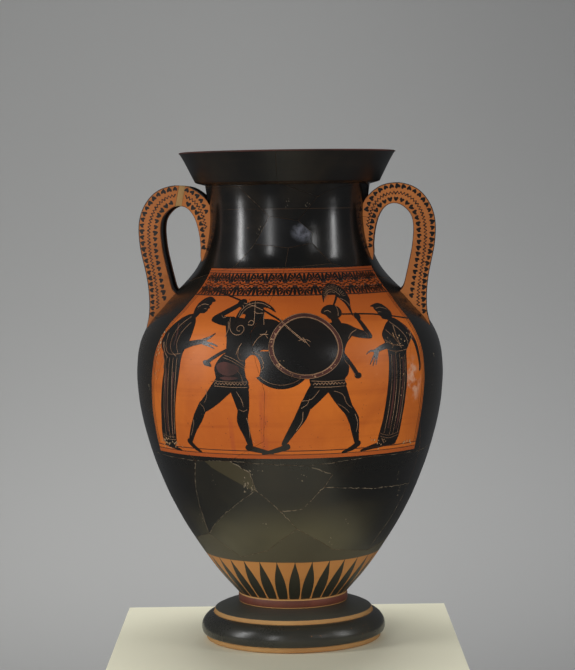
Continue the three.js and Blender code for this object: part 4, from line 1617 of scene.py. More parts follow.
class Defender(Figure):
    """Warrior who faces left behind a round shield, with his spear drawn back."""

    def slip(self) -> list[Outline]:
        """Returns:
            Black shapes.
        """
        return [
            smooth([(46, 371), (60, 371.5), (71, 369.5), (78, 364), (71, 357.5), (64, 351), (60, 344), (57, 337),
                    (38, 338), (36, 356)]),
            smooth([(36, 341), (58, 339), (63, 328), (62, 318), (58, 312), (59, 305), (40, 303.5), (23, 305),
                    (20, 318), (24, 334)]),
            stroke([(34, 308, 22), (24, 295, 17.5), (16, 284, 11.5)]),
            stroke([(17, 288, 11.5), (11, 273, 12.5), (1, 257, 8.5), (-8, 243, 5)]),
            stroke([(-4, 240, 7), (-16, 236, 5.5), (-32, 232.5, 2.2)]),
            stroke([(47, 308, 23), (54, 293, 17.5), (62, 279, 11.5)]),
            stroke([(60, 283, 11.5), (69, 268, 12.5), (72, 254, 8.5), (75, 242, 5)]),
            stroke([(77, 241, 7), (70, 236, 5.5), (59, 232, 2.2)]),
            stroke([(68, 364, 11), (80, 360, 9.5), (93.5, 357, 6.4)]),
            stroke([(93.5, 357.5, 6.6), (89.5, 367, 5.6), (86, 375, 4.4)]),
            smooth([(82, 376.5), (83.5, 380.5), (87, 381.5), (90.5, 379), (90, 375.5), (86, 374)]),
            stroke([(54, 380, 9), (57, 370, 11)]),
            smooth([(40, 382.5), (43, 387), (50, 390), (58, 390.4), (65, 388), (67.6, 384), (66, 379.6), (61.5, 377),
                    (55, 375), (49, 376), (45.5, 379.6)]),
            smooth([(46.5, 393), (47.5, 401), (53, 408), (61, 411.8), (70, 412.6), (79, 410), (85.5, 404),
                    (86.5, 396), (83, 388), (81, 377.5), (79, 385.5), (76.5, 391.5), (72, 396), (68.5, 399.4),
                    (62, 401.8), (55, 401), (49.5, 397.5)]),
            stroke([(59, 389.5, 1.8), (64, 394.5, 2.2), (69, 400, 3)]),
            stroke([(64, 380.5, 1.5), (112, 379, 1.5), (170, 372, 1.3)]),
            stroke([(56, 341, 4), (64, 330, 4), (71, 319, 4.4)]),
            ellipse(73, 315.5, 4.2, 3.4, 16),
        ]

    def lines(self) -> list[Outline]:
        """Returns:
            Incised lines.
        """
        hem = [(24 + k * 1.8, 308.2 + (1.1 if k % 2 else -1.1)) for k in range(20)]
        fan = [[(66 + r0 * math.cos(math.radians(a)), 397 + r0 * 0.8 * math.sin(math.radians(a))),
                (66 + 17.5 * math.cos(math.radians(a)), 397 + 14.2 * math.sin(math.radians(a)))] for a in range(12,
                    170, 9) for r0 in (11.5,)]
        return [line(p, w, 3) for p, w in [
            (hem, 0.55), ([(22, 311.5), (40, 310.5), (60, 311.5)], 0.5),
            ([(25, 304.8), (42, 304.4), (58, 305)], 0.45),
            ([(48.5, 396), (54, 403.5), (62, 406), (69, 404.5), (74, 400)], 0.5),
            ([(50, 395.5), (55.5, 401.8), (62, 403.8), (68, 402.5)], 0.4), ([(72, 397), (79, 393.5), (82, 389)], 0.4),
            ([(44.5, 383.5), (49, 384.6), (53, 382.6)], 0.4), ([(62, 389), (63, 384), (61, 378.6)], 0.4),
            ([(66, 355), (71, 360.5), (78, 363.6)], 0.45), ([(88, 361), (91, 358), (90, 354.5)], 0.35),
            ([(20, 292), (17, 286), (11, 282)], 0.45), ([(13, 278), (12, 268), (6, 258)], 0.45),
            ([(12, 290), (22, 292), (30, 301)], 0.45), ([(57, 294), (60, 286), (66, 281)], 0.45),
            ([(50, 286), (58, 281), (63, 276)], 0.45), ([(70, 274), (74, 264), (73, 254)], 0.45),
            ([(46, 300), (54, 297), (58, 292)], 0.4), ([(58, 333), (66, 322), (70, 315)], 0.35)]
            + [(p, 0.3) for p in fan]]


@dataclass
class Shield(Figure):
    """Round shield with a double rim."""

    centre: Point = (17.5, 348)
    size: Point = (40.5, 34.5)
    rim: bool = True

    def slip(self) -> list[Outline]:
        """The disc."""
        return [ellipse(*self.centre, *self.size, 72)]

    def red(self) -> list[Outline]:
        """The rim."""
        return ring(*self.centre, self.size[0] * 0.925, self.size[1] * 0.925, 3.6) if self.rim else []

    def lines(self) -> list[Outline]:
        """Returns:
            Incised circles, and wear on the rim.
        """
        x, y = self.centre
        if not self.rim:
            return [ellipse(x, y, 32.2, 31.2, 30, 218, 104) + ellipse(x, y, 31.8, 30.8, 30, 218, 104)[::-1]]
        out = []
        out += [line([(x - 29, y + 28.5), (x - 14, y + 16), (x + 1, y + 3.5)], 0.5),
                line([(x - 27, y + 25.6), (x - 15, y + 15.4), (x - 1, y + 4)], 0.35),
                line([(x - 3, y + 9.5), (x + 4, y - 0.5)], 0.4),
                line([(x - 8, y + 6), (x - 1, y + 7.5), (x + 5, y + 5)], 0.35)]
        for k, w in ((0.985, 0.45), (0.878, 0.55), (0.862, 0.4)):
            out += ring(x, y, self.size[0] * k, self.size[1] * k, w, 3)
        rng = random.Random(int(x))
        for _ in range(26):
            a = rng.uniform(90, 330)
            r = rng.uniform(0.9, 0.95)
            px = x + self.size[0] * r * math.cos(math.radians(a))
            py = y + self.size[1] * r * math.sin(math.radians(a))
            s = rng.uniform(0.5, 1.4)
            out.append(smooth([(px + s * rng.uniform(0.6, 1.2) * math.cos(q),
                                py + s * rng.uniform(0.4, 1.0) * math.sin(q)) for q in (0, 1.3, 2.5, 3.7, 5.0)], 2))
        return out


class Gap(Figure):
    """Clay that shows between the lunging warrior and his own shield."""

    def build(self) -> None:
        """Builds the clay patch and the pale rim beside it."""
        shape = smooth([(-47.5, 333), (-44, 337.5), (-41, 339.5), (-37, 339), (-33.5, 335), (-31, 329), (-31, 322),
                        (-33, 316.5), (-37, 317), (-41, 321.5), (-45, 327)])
        rim = [(-40 + 12.2 * math.sin(a * 0.2) + (0.5 if a % 2 else -0.5), 329.5 + 12.6 * math.cos(a * 0.2))
               for a in range(0, 12)]
        Drawing(f"{self.name}_clay", self.vessel, self.breaks, self.finishes.panel, 0.36,
                self.turn).add(shape).build()
        Drawing(f"{self.name}_rim", self.vessel, self.breaks, self.finishes.incised, 0.5,
                self.turn).add(line(rim, 0.5, 1)).build()


class DrapedLeft(Figure):
    """Draped onlooker on the left, who leans forward with both hands out."""

    def slip(self) -> list[Outline]:
        """Returns:
            Black shapes.
        """
        return [
            smooth([(-123, 374), (-134, 381), (-148, 378), (-161, 368), (-168, 356), (-166, 346), (-158, 337),
                    (-155, 322), (-160, 298), (-167, 268), (-174, 241), (-161, 237), (-148, 238), (-142, 262),
                    (-136, 290), (-130, 315), (-127, 338), (-121, 351), (-120, 363)]),
            stroke([(-134, 374, 11), (-127, 385, 9)]),
            smooth([(-136, 383), (-137, 391), (-131, 397), (-122, 399.5), (-114, 397), (-111.5, 392), (-113.5, 390),
                    (-111.6, 388), (-113.6, 386.6), (-113.6, 384.8), (-117, 382.2), (-124, 382), (-130, 380)]),
            smooth([(-131, 396), (-122, 399.6), (-113, 398), (-107.5, 395), (-114, 394), (-122, 395.4)]),
            stroke([(-125, 348, 8), (-113, 351, 6), (-101, 353, 5)]),
            stroke([(-103, 353, 5.5), (-94, 357, 2.8), (-87.5, 361.5, 1.2)]),
            stroke([(-101, 352, 4), (-90, 351, 2.2), (-81, 348.5, 1)]),
            stroke([(-100, 351, 3), (-92, 348.5, 1.6), (-85, 346, 0.9)]),
            stroke([(-168, 237, 6), (-156, 234.5, 4.5), (-141, 231.5, 2)]),
        ]

    def red(self) -> list[Outline]:
        """Returns:
            Red shapes.
        """
        return [
            stroke([(-150, 370, 1.5), (-144, 360, 2.4), (-143, 348, 1.6)]),
            stroke([(-150, 322, 2.0), (-153, 290, 2.2), (-158, 252, 2.4)]),
            stroke([(-138, 318, 1.8), (-143, 285, 2), (-150, 250, 2.2)]),
        ]

    def lines(self) -> list[Outline]:
        """Returns:
            Incised lines.
        """
        return [line(p, w, 3) for p, w in (
            ([(-135, 378), (-146, 368), (-150, 354), (-146, 342), (-136, 336)], 0.5),
            ([(-129, 372), (-137, 362), (-139, 350), (-134, 340)], 0.5),
            ([(-160, 360), (-157, 346), (-148, 338), (-130, 339)], 0.5),
            ([(-152, 334), (-153, 310), (-158, 280), (-164, 246)], 0.45),
            ([(-146, 334), (-147, 310), (-151, 280), (-157, 244)], 0.45),
            ([(-140, 334), (-141, 308), (-145, 276), (-151, 246)], 0.45),
            ([(-134, 334), (-135, 310), (-139, 284), (-146, 250)], 0.45),
            ([(-172, 246), (-160, 242.5), (-147, 243)], 0.45), ([(-171, 249), (-160, 245.5), (-147, 246)], 0.4),
            ([(-134, 388), (-126, 391.5), (-116, 391)], 0.45), ([(-121, 386.5), (-118.5, 387.3), (-116.5, 386.6)],
                0.4), ([(-163, 350), (-158, 341), (-150, 334)], 0.9), ([(-160, 338), (-155, 330), (-156, 322)], 1.1),
            ([(-104, 355), (-98, 354.5)], 0.35))]


class DrapedRight(Figure):
    """Draped onlooker on the right, who faces the fight with a hand held out."""

    def slip(self) -> list[Outline]:
        """Returns:
            Black shapes.
        """
        return [
            smooth([(126, 370), (140, 374), (150, 369), (158, 361), (162, 350), (155, 350), (147, 344), (141, 337),
                    (139, 320), (138, 300), (135, 270), (132, 241), (118, 238), (103, 240), (106, 265), (110, 300),
                    (113, 333), (112, 347), (110.5, 357), (117, 364)]),
            stroke([(131, 379, 9), (137, 369, 11)]),
            smooth([(118.5, 386.5), (125, 389.4), (134, 389.4), (141, 386), (144.5, 380), (140, 375), (131, 372.6),
                    (123.5, 373.4), (121.6, 375), (121.4, 376.6), (118.6, 378), (120.2, 380.4), (118.4, 383.2)]),
            smooth([(113.5, 387.2), (121, 389.2), (130, 390.2), (138, 388.2), (131, 387.6), (121, 386.4)]),
            stroke([(115, 346, 7), (105, 343.5, 5.5), (96, 340, 4.6)]),
            stroke([(98, 340.5, 3), (90, 340.8, 1.8), (84.5, 337.5, 0.9)]),
            stroke([(97, 339, 3.4), (92, 333, 1.7), (88, 326.5, 0.9)]),
            stroke([(98, 338.5, 3), (94.6, 332, 1.6), (91.4, 325, 0.9)]),
            stroke([(99, 338.5, 3), (97, 332, 1.5), (95.4, 326, 0.9)]),
            stroke([(152, 363, 8), (160, 349, 6), (162, 334, 4.6), (163, 322, 3.6), (162, 316, 2.6)]),
            stroke([(128, 239, 6), (104, 237, 6.5), (82, 232.5, 2.2)]),
        ]

    def red(self) -> list[Outline]:
        """Red shapes."""
        return [stroke([(120, 334, 1.8), (119, 300, 2.2), (115, 256, 2.4)]),
                stroke([(134, 332, 1.6), (131, 296, 2), (127, 254, 2.2)]),
                stroke([(152, 366, 1.6), (157, 358, 2.6), (159, 350, 1.6)])]

    def lines(self) -> list[Outline]:
        """Returns:
            Incised lines.
        """
        return [line(p, w, 3) for p, w in (
            ([(118, 362), (128, 352), (134, 342)], 0.5), ([(130, 370), (140, 362), (147, 352), (146, 342)], 0.5),
            ([(112, 352), (122, 346), (138, 344)], 0.5), ([(113, 341), (126, 338.5), (143, 340)], 0.5),
            ([(117, 336), (115, 300), (110, 250)], 0.45), ([(123, 336), (122, 300), (118, 248)], 0.45),
            ([(129, 336), (127, 300), (123, 248)], 0.45), ([(137, 334), (134, 300), (130, 250)], 0.45),
            ([(105, 247), (118, 244), (132, 247)], 0.45), ([(105, 250), (118, 247), (132, 250)], 0.4),
            ([(121, 384.4), (130, 385.6), (140, 383)], 0.4), ([(122, 380.4), (124.6, 381.2), (126.6, 380.4)], 0.35),
            ([(133, 366), (131, 356), (133, 346)], 0.7), ([(154, 356), (158, 352)], 0.4),
            ([(108, 244), (112, 239)], 0.8))]


@dataclass
class Wear:
    """Pale scratches along the glued breaks and small losses in the paint."""

    vessel: Vessel
    breaks: Breaks
    finishes: Finishes

    def scratches(self) -> list[Outline]:
        """Returns:
            Broken strokes beside the breaks.
        """
        rng = random.Random(12)
        out: list[Outline] = []
        for name, crack in {**CRACKS, "G0": RING_GROUND, "B0": RING_BASE, "P0": PATCH + PATCH[:1]}.items():
            if name in "MNOQ" or name == "P0":
                continue
            strong = name in ("A", "B", "C", "D", "E", "F", "G", "H")
            for (a0, z0), (a1, z1) in zip(crack, crack[1:]):
                k = math.radians(1.0) * UNROLL_RADIUS
                far = math.hypot((a1 - a0) * k, z1 - z0)
                done = rng.uniform(0, 6)
                while done < far - 2:
                    end = min(far, done + rng.uniform(3, 14))
                    pts = []
                    for q in range(4):
                        f = (done + (end - done) * q / 3) / far
                        pts.append(((a0 + (a1 - a0) * f) * k + rng.uniform(-0.6, 0.6),
                                    z0 + (z1 - z0) * f + rng.uniform(-0.45, 0.45),
                                    rng.uniform(0.25, 1.25 if strong else 0.5)))
                    out.append(stroke(pts, 1, 1))
                    done = end + rng.uniform(0.5, 5 if strong else 16)
        return out

    def losses(self, spots: Sequence[tuple[float, float, float, float, int, float]], seed: int) -> list[Outline]:
        """Args:
            spots: (across, up, spread across, spread up, count, size) of each cluster.
            seed: Random seed.

        Returns:
            Small ragged flakes.
        """
        rng = random.Random(seed)
        out = []
        for x, y, sx, sy, count, size in spots:
            for _ in range(count):
                px, py = x + rng.gauss(0, sx), y + rng.gauss(0, sy)
                r, tilt = size * rng.uniform(0.35, 1.2), rng.uniform(-1, 1)
                flake = []
                for q in range(6):
                    a = q * math.tau / 6
                    g = r * rng.uniform(0.5, 1.1)
                    flake.append((px + g * math.cos(a) + tilt * g * math.sin(a) * 0.6, py + g * math.sin(a) * 1.4))
                out.append(smooth(flake, 2))
        return out

    def build(self) -> None:
        """Builds the scratches and flakes."""
        f = self.finishes
        Drawing("break_scratches", self.vessel, self.breaks, f.scratch, 0.09,
                step=0.004).add(*self.scratches()).build()
        pale = [(-170, 346, 1.6, 9, 16, 1.0), (-168, 325, 1.6, 8, 10, 0.8), (-165, 240, 4.5, 3.5, 22, 1.1),
                (-150, 238, 8, 2.5, 14, 0.9), (129, 352, 6, 6, 16, 0.8), (154, 354, 3, 2.5, 9, 0.7),
                (108, 240, 6, 3, 12, 0.8), (-12, 331, 4, 4, 6, 0.9), (150, 236, 5, 2, 8, 0.9),
                (130, 320, 3, 22, 10, 0.6)]
        Drawing("paint_losses", self.vessel, self.breaks, f.loss, 0.95, step=0.003).add(*self.losses(pale, 5)).build()
        dark = [(-30, 262, 3, 22, 20, 0.5), (40, 250, 30, 14, 26, 0.4), (-90, 300, 24, 30, 30, 0.4),
                (90, 290, 20, 24, 24, 0.4), (0, 410, 70, 7, 30, 0.5), (-60, 250, 40, 12, 20, 0.4)]
        Drawing("pits", self.vessel, self.breaks, f.outline, 0.16, step=0.003).add(*self.losses(dark, 9)).build()
        nicks = [(-57, 199, 3, 5, 18, 0.9), (-48, 192, 2, 2, 8, 0.8), (12, 205, 3, 3, 7, 0.7),
                 (-40, 212, 6, 1.5, 8, 0.6)]
        nicks += [(d, z, 3, 3, 5, 0.7) for d, z in ((-100, 200), (-60, 470), (40, 500), (80, 150), (150, 200),
            (-150, 150), (0, 500), (60, 130), (-40, 150), (170, 180), (-190, 300), (200, 330), (260, 260),
            (-260, 300), (320, 200), (-330, 220))]
        Drawing("nicks", self.vessel, self.breaks, f.scratch, 0.1, step=0.003).add(*self.losses(nicks, 3)).build()


# --------------------------------------------------------------------------------------
# Handles
# --------------------------------------------------------------------------------------
@dataclass
class Handle:
    """A flanged handle: two flat painted flanges with a hollowed strap between them."""

    vessel: Vessel
    finishes: Finishes
    side: int
    name: str
    half: float = 29.0
    outer_line: Outline = field(default_factory=lambda: [
        (90, 505.5), (97, 513), (109, 520.5), (124, 523), (136, 521.3), (146, 517.3), (154.5, 510.5), (161.5, 501),
        (166.3, 490), (168.6, 477), (168.4, 463), (166.6, 448), (163.5, 434), (160.6, 420), (158.7, 406),
        (157.9, 390), (158.7, 375), (161.4, 363)])
    inner_line: Outline = field(default_factory=lambda: [
        (127, 400.5), (131.4, 406), (135.1, 420), (138.3, 434), (141.2, 448), (143, 463), (143.3, 475),
        (141.5, 484.5), (137, 491.5), (130, 497.3), (122, 499.5), (113.5, 497), (107, 490), (102.6, 480),
        (99.6, 467), (98.2, 453), (98.4, 443), (97.6, 436)])

    inner_guide: Outline = field(default_factory=lambda: [
        (94.6, 452), (95.4, 468), (98, 482), (103, 493.5), (111, 501.3), (122, 504.6), (132.5, 502.3),
        (140.8, 495.5), (146.2, 487), (148.9, 476), (149.8, 463), (149.0, 448), (146.9, 434), (144.6, 420),
        (142.2, 406), (140.4, 394), (140, 384)])
    middle_guide: Outline = field(default_factory=lambda: [
        (91.5, 474), (95.5, 489), (101.5, 501), (111, 508.6), (123, 511.4), (135, 509.3), (144.4, 502.6),
        (151.2, 493), (155.3, 482), (157, 470), (156.9, 458), (155.4, 444), (153, 430), (150.6, 416), (148.8, 402),
        (148, 388), (148.6, 376)])
    outer_guide: Outline = field(default_factory=lambda: [
        (91, 493), (98.5, 508), (110, 516.4), (124, 518.9), (135, 517.4), (144, 513.6), (151.6, 507.4),
        (158.2, 498.4), (162.6, 488.4), (164.7, 477), (164.5, 463), (162.8, 448.8), (159.7, 435), (156.8, 421),
        (154.9, 406.5), (154.1, 390), (154.8, 375), (157, 364)])

    def wall_x(self, z: float, y: float, deep: float) -> float:
        """Distance from the axis."""
        return math.sqrt(max(1.0, self.vessel.radius(z) ** 2 - y * y)) - deep

    def outline(self, y: float, recess: float) -> Outline:
        """Args:
            y: Distance from the middle plane.
            recess: Inset of the free edges.

        Returns:
            The section there, as (distance from axis, height).
        """
        out = offset(smooth(self.outer_line, 4, False), -recess, False)
        inn = offset(smooth(self.inner_line, 4, False), -recess, False)
        low = [(self.wall_x(z, y, 2.2), z) for z in (357, 364, 372, 380, 388, 396)]
        high = [(self.wall_x(z, y, 2.2), z) for z in (438, 450, 462, 474, 486, 496)]
        return out + low + inn + high

    def loft(self) -> bmesh.types.BMesh:
        """Returns:
            The handle as one closed solid.
        """
        h = self.half
        rows = [(-h, 0.7), (-h + 0.25, 0.2), (-h + 0.8, 0.0), (-h + 7.2, 0.0), (-h + 8.2, 0.5), (-h + 9.2, 1.8),
                (-h + 11.5, 3.2), (-h + 16, 4.1), (-h + 22, 4.5), (0, 4.6)]
        rows += [(-y, r) for y, r in rows[-2::-1]]
        bm = bmesh.new()
        loops = []
        for y, recess in rows:
            verts = [bm.verts.new((self.side * x * MM, y * MM, z * MM)) for x, z in self.outline(y, recess)]
            loops.append([bm.edges.new((a, b)) for a, b in zip(verts, verts[1:] + verts[:1])])
        for a, b in zip(loops, loops[1:]):
            va, vb = [e.verts[0] for e in a], [e.verts[0] for e in b]
            for k in range(len(va)):
                j = (k + 1) % len(va)
                bm.faces.new((va[k], va[j], vb[j], vb[k]))
        for loop in (loops[0], loops[-1]):
            f = bm.faces.new([e.verts[0] for e in loop])
            f.normal_update()
            f.material_index = 1
        bmesh.ops.recalc_face_normals(bm, faces=bm.faces[:])
        for f in bm.faces:
            c, n = f.calc_center_median() / MM, f.normal
            turned_in = n.x * (abs(c.x) - 118) * self.side + n.z * (c.z - 462) < 0
            if f.material_index == 0 and abs(c.y) > 20.4 and (turned_in or abs(n.y) > 0.5):
                f.material_index = 3
        return bm

    def part(self, bm: bmesh.types.BMesh, planes: Sequence[tuple[Vector, Vector]],
             pick: Callable[[Vector], bool]) -> bmesh.types.BMesh:
        """Cuts the handle with planes and keeps one part, closed again.

        Args:
            bm: The whole handle.
            planes: (point, normal) pairs in mm.
            pick: Whether a face centre, in mm, belongs to the part.

        Returns:
            The part.
        """
        out = bm.copy()
        bmesh.ops.triangulate(out, faces=[f for f in out.faces if len(f.verts) > 4], ngon_method="EAR_CLIP")
        for co, no in planes:
            bmesh.ops.bisect_plane(out, geom=[*out.verts, *out.edges, *out.faces], dist=1e-7, plane_co=co * MM,
                                   plane_no=no)
        gone = [f for f in out.faces if not pick(f.calc_center_median() / MM)]
        bmesh.ops.delete(out, geom=gone, context="FACES")
        holes = bmesh.ops.holes_fill(out, edges=[e for e in out.edges if len(e.link_faces) == 1], sides=0)
        for f in holes["faces"]:
            f.material_index = 2
        bmesh.ops.recalc_face_normals(out, faces=out.faces[:])
        return out

    def build(self) -> None:
        """Builds the handle's pieces and its painted ivy."""
        f = self.finishes
        whole = self.loft()
        looks = [f.neck, f.handle_clay, f.broken, f.flange_edge]
        if self.side > 0:
            co, no = Vector((95, 0, 484)), Vector((0.122, 0, 0.9925))
            above = lambda c: not (c.x < 118 and (c - co).dot(no) < 0 and c.z > 400)
            add_piece(self.name, self.part(whole, [(co, no)], above), looks, [self.name])
            add_piece(f"{self.name}_root", self.part(whole, [(co - no * SEAM, no)], lambda c: c.x < 118
                and (c - co).dot(no) < -SEAM and c.z > 400), looks, [f"{self.name}_root"])
        else:
            mid, no = Vector((-120, 0, 512)), Vector((-math.cos(math.radians(12)), 0, math.sin(math.radians(12))))
            a, b = mid + no * 3.65, mid - no * 3.65
            level = [(Vector((-120, 0, 425)), Vector((0, 0, 1)))]
            limb = lambda c: c.z < 425 or (c.z < 480 and c.x < -127)
            add_piece(self.name, self.part(whole, [(a, no)] + level, lambda c: (c - a).dot(no) > 0 or limb(c)), looks,
                      [self.name])
            add_piece(f"{self.name}_fill", self.part(whole, [(a - no * SEAM, no), (b + no * SEAM, no)] + level,
                lambda c: not limb(c) and (c - a).dot(no) < -SEAM and (c - b).dot(no) > SEAM),
                [f.mend, f.mend, f.mend], [f"{self.name}_fill"])
            add_piece(f"{self.name}_root", self.part(whole, [(b, no)] + level, lambda c: (c - b).dot(no) < 0
                and not limb(c)), looks, [f"{self.name}_root"])
        whole.free()
        for face in (-1, 1):
            self.ivy(face)

    def row(self, guide: Outline, step: float) -> list[tuple[Point, Point]]:
        """Evenly spaced places along a guide line on a flange.

        Args:
            guide: The line, from the neck over the top and down.
            step: Spacing, mm.

        Returns:
            (point, way towards the outer edge) of each place.
        """
        points = smooth(guide, 6, False)
        far = [0.0]
        for p, q in zip(points, points[1:]):
            far.append(far[-1] + math.hypot(q[0] - p[0], q[1] - p[1]))
        rows = [list(zip(far, [p[k] for p in points])) for k in (0, 1)]
        places = []
        for k in range(int(far[-1] / step)):
            (x0, z0), (x1, z1) = ((along(rows[0], v), along(rows[1], v)) for v in (k * step, k * step + 1.5))
            l = math.hypot(x1 - x0, z1 - z0)
            places.append(((x0, z0), (-(z1 - z0) / l, (x1 - x0) / l)))
        return places

    def free(self, p: Point, margin: float) -> bool:
        """Args:
            p: Place on the flange.
            margin: Clearance wanted.

        Returns:
            Whether the place is clear of the wall and the mend.
        """
        if self.side < 0:
            d = (-p[0] + 120) * -math.cos(math.radians(12)) + (p[1] - 512) * math.sin(math.radians(12))
            if p[1] > 488 and abs(d) < 3.6 + margin * 0.7:
                return False
        if p[1] > 425:
            return p[0] > self.wall_x(p[1], self.half, 0) + margin
        return p[0] > self.wall_x(p[1], self.half, 0) + margin + 3.5

    def ivy(self, face: int) -> None:
        """Two rows of heart-shaped leaves beside a wavy stem.

        Args:
            face: -1 for the front flange, 1 for the back.
        """
        leaf = smooth([(0, -3.1), (1.9, -1.2), (2.9, 0.8), (2.1, 2.5), (0.7, 2.0), (0, 1.4), (-0.7, 2.0),
                       (-2.1, 2.5), (-2.9, 0.8), (-1.9, -1.2)], 2)
        rng = random.Random(self.side * 3 + face)
        shapes: list[Outline] = []
        for guide, way, margin in ((self.outer_guide, 1.0, 1.6), (self.inner_guide, -1.0, 1.8)):
            for (x, z), out in self.row(guide, 6.8):
                if not self.free((x, z), margin):
                    continue
                a = math.atan2(out[0] * way, -out[1] * way) + rng.uniform(-0.3, 0.3) + 0.25 * way
                s, c, g = math.sin(a), math.cos(a), rng.uniform(0.88, 1.06)
                shapes.append([(x + (px * c - py * s) * g, z + (px * s + py * c) * g) for px, py in leaf])
        run: Outline = []
        for k, ((x, z), out) in enumerate(self.row(self.middle_guide, 1.95) + [((0.0, 480.0), (0.0, 1.0))]):
            if self.free((x, z), 1.2):
                amp = 1.5 if k % 2 else -1.5
                run.append((x + out[0] * amp, z + out[1] * amp))
            else:
                for i in range(0, len(run) - 2, 7):
                    shapes.append(line(run[i : i + 8], 1.65, 1))
                run = []
        border = self.row(self.outer_line, 6.0)
        for i in range(1, 38, 5):
            clear = [(p, out) for p, out in border[i : i + 6] if self.free(p, 0.5)]
            if len(clear) > 1:
                shapes.append(line([(p[0] - out[0] * 0.45, p[1] - out[1] * 0.45) for p, out in clear], 0.8, 2))
        parts = []
        for i, shape in enumerate(shapes):
            sheet = Sheet.filled(shape)
            up = self.half + 0.05 + 0.012 * (i % 3)
            place = lambda high: lambda d, z: Vector((self.side * d * FLAT_PER_DEG, face * high, z)) * MM
            sheet.wrap(place(up), place(self.half - 0.1))
            parts.append(sheet.bm)
        bm = join(parts)
        for f in bm.faces:
            f.material_index = 0
        add_piece(f"{self.name}_ivy_{'front' if face < 0 else 'back'}", bm, [self.finishes.figure])


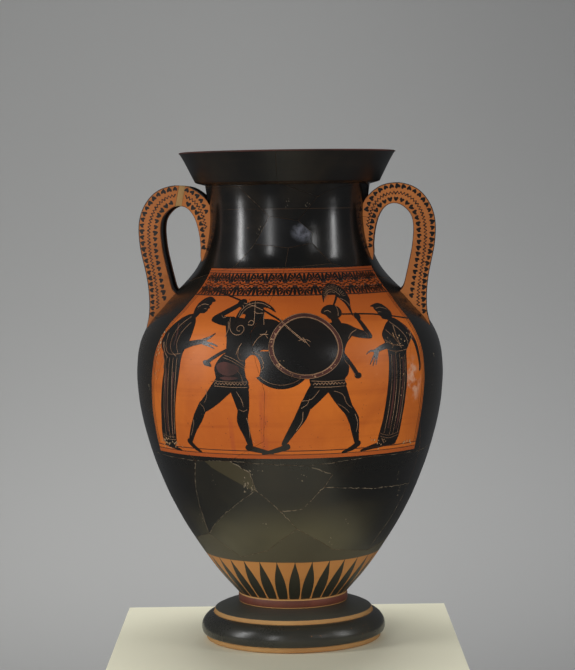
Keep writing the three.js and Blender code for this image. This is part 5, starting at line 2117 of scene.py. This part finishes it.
# --------------------------------------------------------------------------------------
# Setting
# --------------------------------------------------------------------------------------
@dataclass
class Studio:
    """Pale floor, grey backdrop with a painted falloff of light, soft lights and the camera."""

    azimuth: float = 3.5
    distance: float = 2.410
    eye: float = 0.508
    pitch: float = 3.76
    roll: float = 0.8

    def softbox(self, name: str, azimuth: float, height: float, away: float, size: Point, power: float,
                mirrored: bool, target: tuple[float, float, float]) -> None:
        """Adds a large soft light.

        Args:
            name: Light name.
            azimuth: Degrees from the front towards +X.
            height: Height of its middle, metres.
            away: Distance from the axis, metres.
            size: Width and height, metres.
            power: Watts.
            mirrored: Whether the light shows in glossy surfaces.
            target: Point that it faces.
        """
        light = bpy.data.lights.new(name, "AREA")
        light.shape = "RECTANGLE"
        light.size, light.size_y = size
        light.energy = power
        obj = bpy.data.objects.new(name, light)
        a = math.radians(azimuth)
        obj.location = (away * math.sin(a), -away * math.cos(a), height)
        obj.rotation_euler = (Vector(target) - obj.location).to_track_quat("-Z", "Y").to_euler()
        obj.visible_glossy = mirrored
        obj.visible_camera = False
        bpy.context.scene.collection.objects.link(obj)

    def build(self) -> None:
        """Builds the setting."""
        t = Tree("floor_paint")
        cloud = t.noise(3.0, 3.0)
        pale = t.finish(t.mix(cloud, (0.90, 0.872, 0.665), (0.93, 0.90, 0.70)), 0.6, t.noise(200.0), 0.05)
        t = Tree("backdrop_painted_falloff")
        # Painted light: the backdrop grey is lighter towards the top and darker towards the right.
        grey = t.mix((t.z / 1000.0).ramp(-0.7, 1.3), (0.53, 0.53, 0.52), (0.625, 0.626, 0.615))
        grey = t.mix((t.x / 1000.0).ramp(-0.5, 0.9) * 0.8, grey, (0.45, 0.452, 0.45))
        grey = t.finish(grey, 0.9, t.noise(30.0), 0.02)

        def slab(name: str, size: tuple[float, float, float], middle: tuple[float, float, float], turn: float,
                 paint: bpy.types.Material, mirrored: bool) -> None:
            bm = bmesh.new()
            bmesh.ops.create_cube(bm, size=1.0)
            bmesh.ops.scale(bm, vec=size, verts=bm.verts[:])
            bmesh.ops.translate(bm, vec=middle, verts=bm.verts[:])
            bmesh.ops.rotate(bm, cent=(0, 0, 0), matrix=Matrix.Rotation(math.radians(turn), 3, "Z"),
                             verts=bm.verts[:])
            mesh = bpy.data.meshes.new(name)
            bm.to_mesh(mesh)
            bm.free()
            mesh.materials.append(paint)
            obj = bpy.data.objects.new(name, mesh)
            bpy.context.scene.collection.objects.link(obj)
            obj.visible_glossy = mirrored

        slab("floor", (0.392, 0.72, 0.3), (-0.008, -0.18, -0.15), self.azimuth, pale, True)
        slab("backdrop_floor", (9.0, 8.2, 0.02), (0.0, -0.6, -0.9), self.azimuth, grey, False)
        slab("backdrop", (9.0, 0.02, 5.0), (0.0, 3.5, 1.2), self.azimuth, grey, False)

        world = bpy.data.worlds.new("studio")
        world.use_nodes = True
        world.node_tree.nodes["Background"].inputs[0].default_value = (0.60, 0.62, 0.65, 1.0)
        world.node_tree.nodes["Background"].inputs[1].default_value = 0.15
        scene = bpy.context.scene
        scene.world = world
        scene.view_settings.view_transform = "Standard"
        belly, middle = (0.0, 0.0, 0.5), (0.0, 0.0, 0.26)
        for light in (
            ("strip_left", -66.5, 1.0, 2.0, (0.17, 1.45), 16.0, True, belly),
            ("strip_middle", -22.0, 1.0, 2.3, (0.12, 1.4), 8.0, True, belly),
            ("strip_right", 40.0, 1.2, 2.3, (0.10, 0.5), 2.0, True, belly),
            ("strip_far_right", 70.0, 1.0, 2.0, (0.14, 1.2), 8.0, True, belly),
            ("soft_top", 183.0, 2.5, 0.45, (1.5, 0.8), 29.0, False, middle),
            ("soft_front", 3.5, 0.22, 2.7, (1.6, 0.9), 31.0, False, middle),
            ("soft_back", 183.5, 0.5, 2.6, (1.6, 0.9), 26.0, False, middle),
            ("backdrop_wash", 180.0, -0.7, 2.65, (3.0, 0.3), 8.0, False, (0.0, 3.5, 0.1)),
        ):
            self.softbox(*light)

        camera = bpy.data.cameras.new("camera")
        camera.sensor_width = 36.0
        camera.sensor_fit = "AUTO"
        camera.lens = 112.8
        camera.clip_end = 50.0
        obj = bpy.data.objects.new("camera", camera)
        scene.collection.objects.link(obj)
        scene.camera = obj
        a = math.radians(self.azimuth)
        obj.matrix_world = (
            Matrix.Translation((self.distance * math.sin(a), -self.distance * math.cos(a), self.eye))
            @ Matrix.Rotation(a + math.radians(0.055), 4, "Z")
            @ Matrix.Rotation(math.radians(90 - self.pitch), 4, "X")
            @ Matrix.Rotation(math.radians(-self.roll), 4, "Z")
        )


def main() -> None:
    """Builds the amphora and its setting."""
    logging.basicConfig(level=logging.INFO, format="%(message)s")
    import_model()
    vessel = Vessel()
    breaks = Breaks(vessel)
    finishes = Finishes.make()
    Turned(finishes).build()
    Fragments(vessel, breaks, finishes).build()
    Rays(vessel, breaks, finishes).build()
    shared = (vessel, breaks, finishes)
    edges_left = [(226, -61.2), (253, -59.8), (277, -58.8), (301, -57.6), (324, -56.8), (340, -56), (359, -54.6),
                  (371, -53.2), (386, -50.6), (400, -49), (415, -50), (430, -52)]
    edges_right = [(226, 61.3), (254, 60.6), (278, 60.8), (302, 61.2), (337, 61.4), (373, 61), (390, 60.6),
                   (404, 62), (418, 64.2), (430, 66.4)]
    Frame(*shared, "front_panel", 0.0, edges_left, edges_right).build()
    Shield(*shared, "striker_shield", lift=0.12, centre=(-9, 338.5), size=(34.5, 35.5), rim=False).build()
    Striker(*shared, "striker", lift=0.24).build()
    Gap(*shared, "shield_gap").build()
    Defender(*shared, "defender", lift=0.24).build()
    Shield(*shared, "defender_shield", lift=0.62).build()
    DrapedLeft(*shared, "draped_left").build()
    DrapedRight(*shared, "draped_right").build()
    Wear(*shared).build()
    back = 180.0
    even = [(z, 60.8) for z in (226, 300, 380)] + [(404, 61.5), (430, 65)]
    Frame(*shared, "back_panel", back, [(z, -d) for z, d in even], even).build()
    Defender(*shared, "back_warrior", back - 18, lift=0.24).build()
    Shield(*shared, "back_shield", back - 18, lift=0.62).build()
    DrapedLeft(*shared, "back_draped_left", back).build()
    DrapedRight(*shared, "back_draped_right", back - 2).build()
    Handle(vessel, finishes, -1, "handle_left").build()
    Handle(vessel, finishes, 1, "handle_right").build()
    Studio().build()


if __name__ == "__main__":
    main()
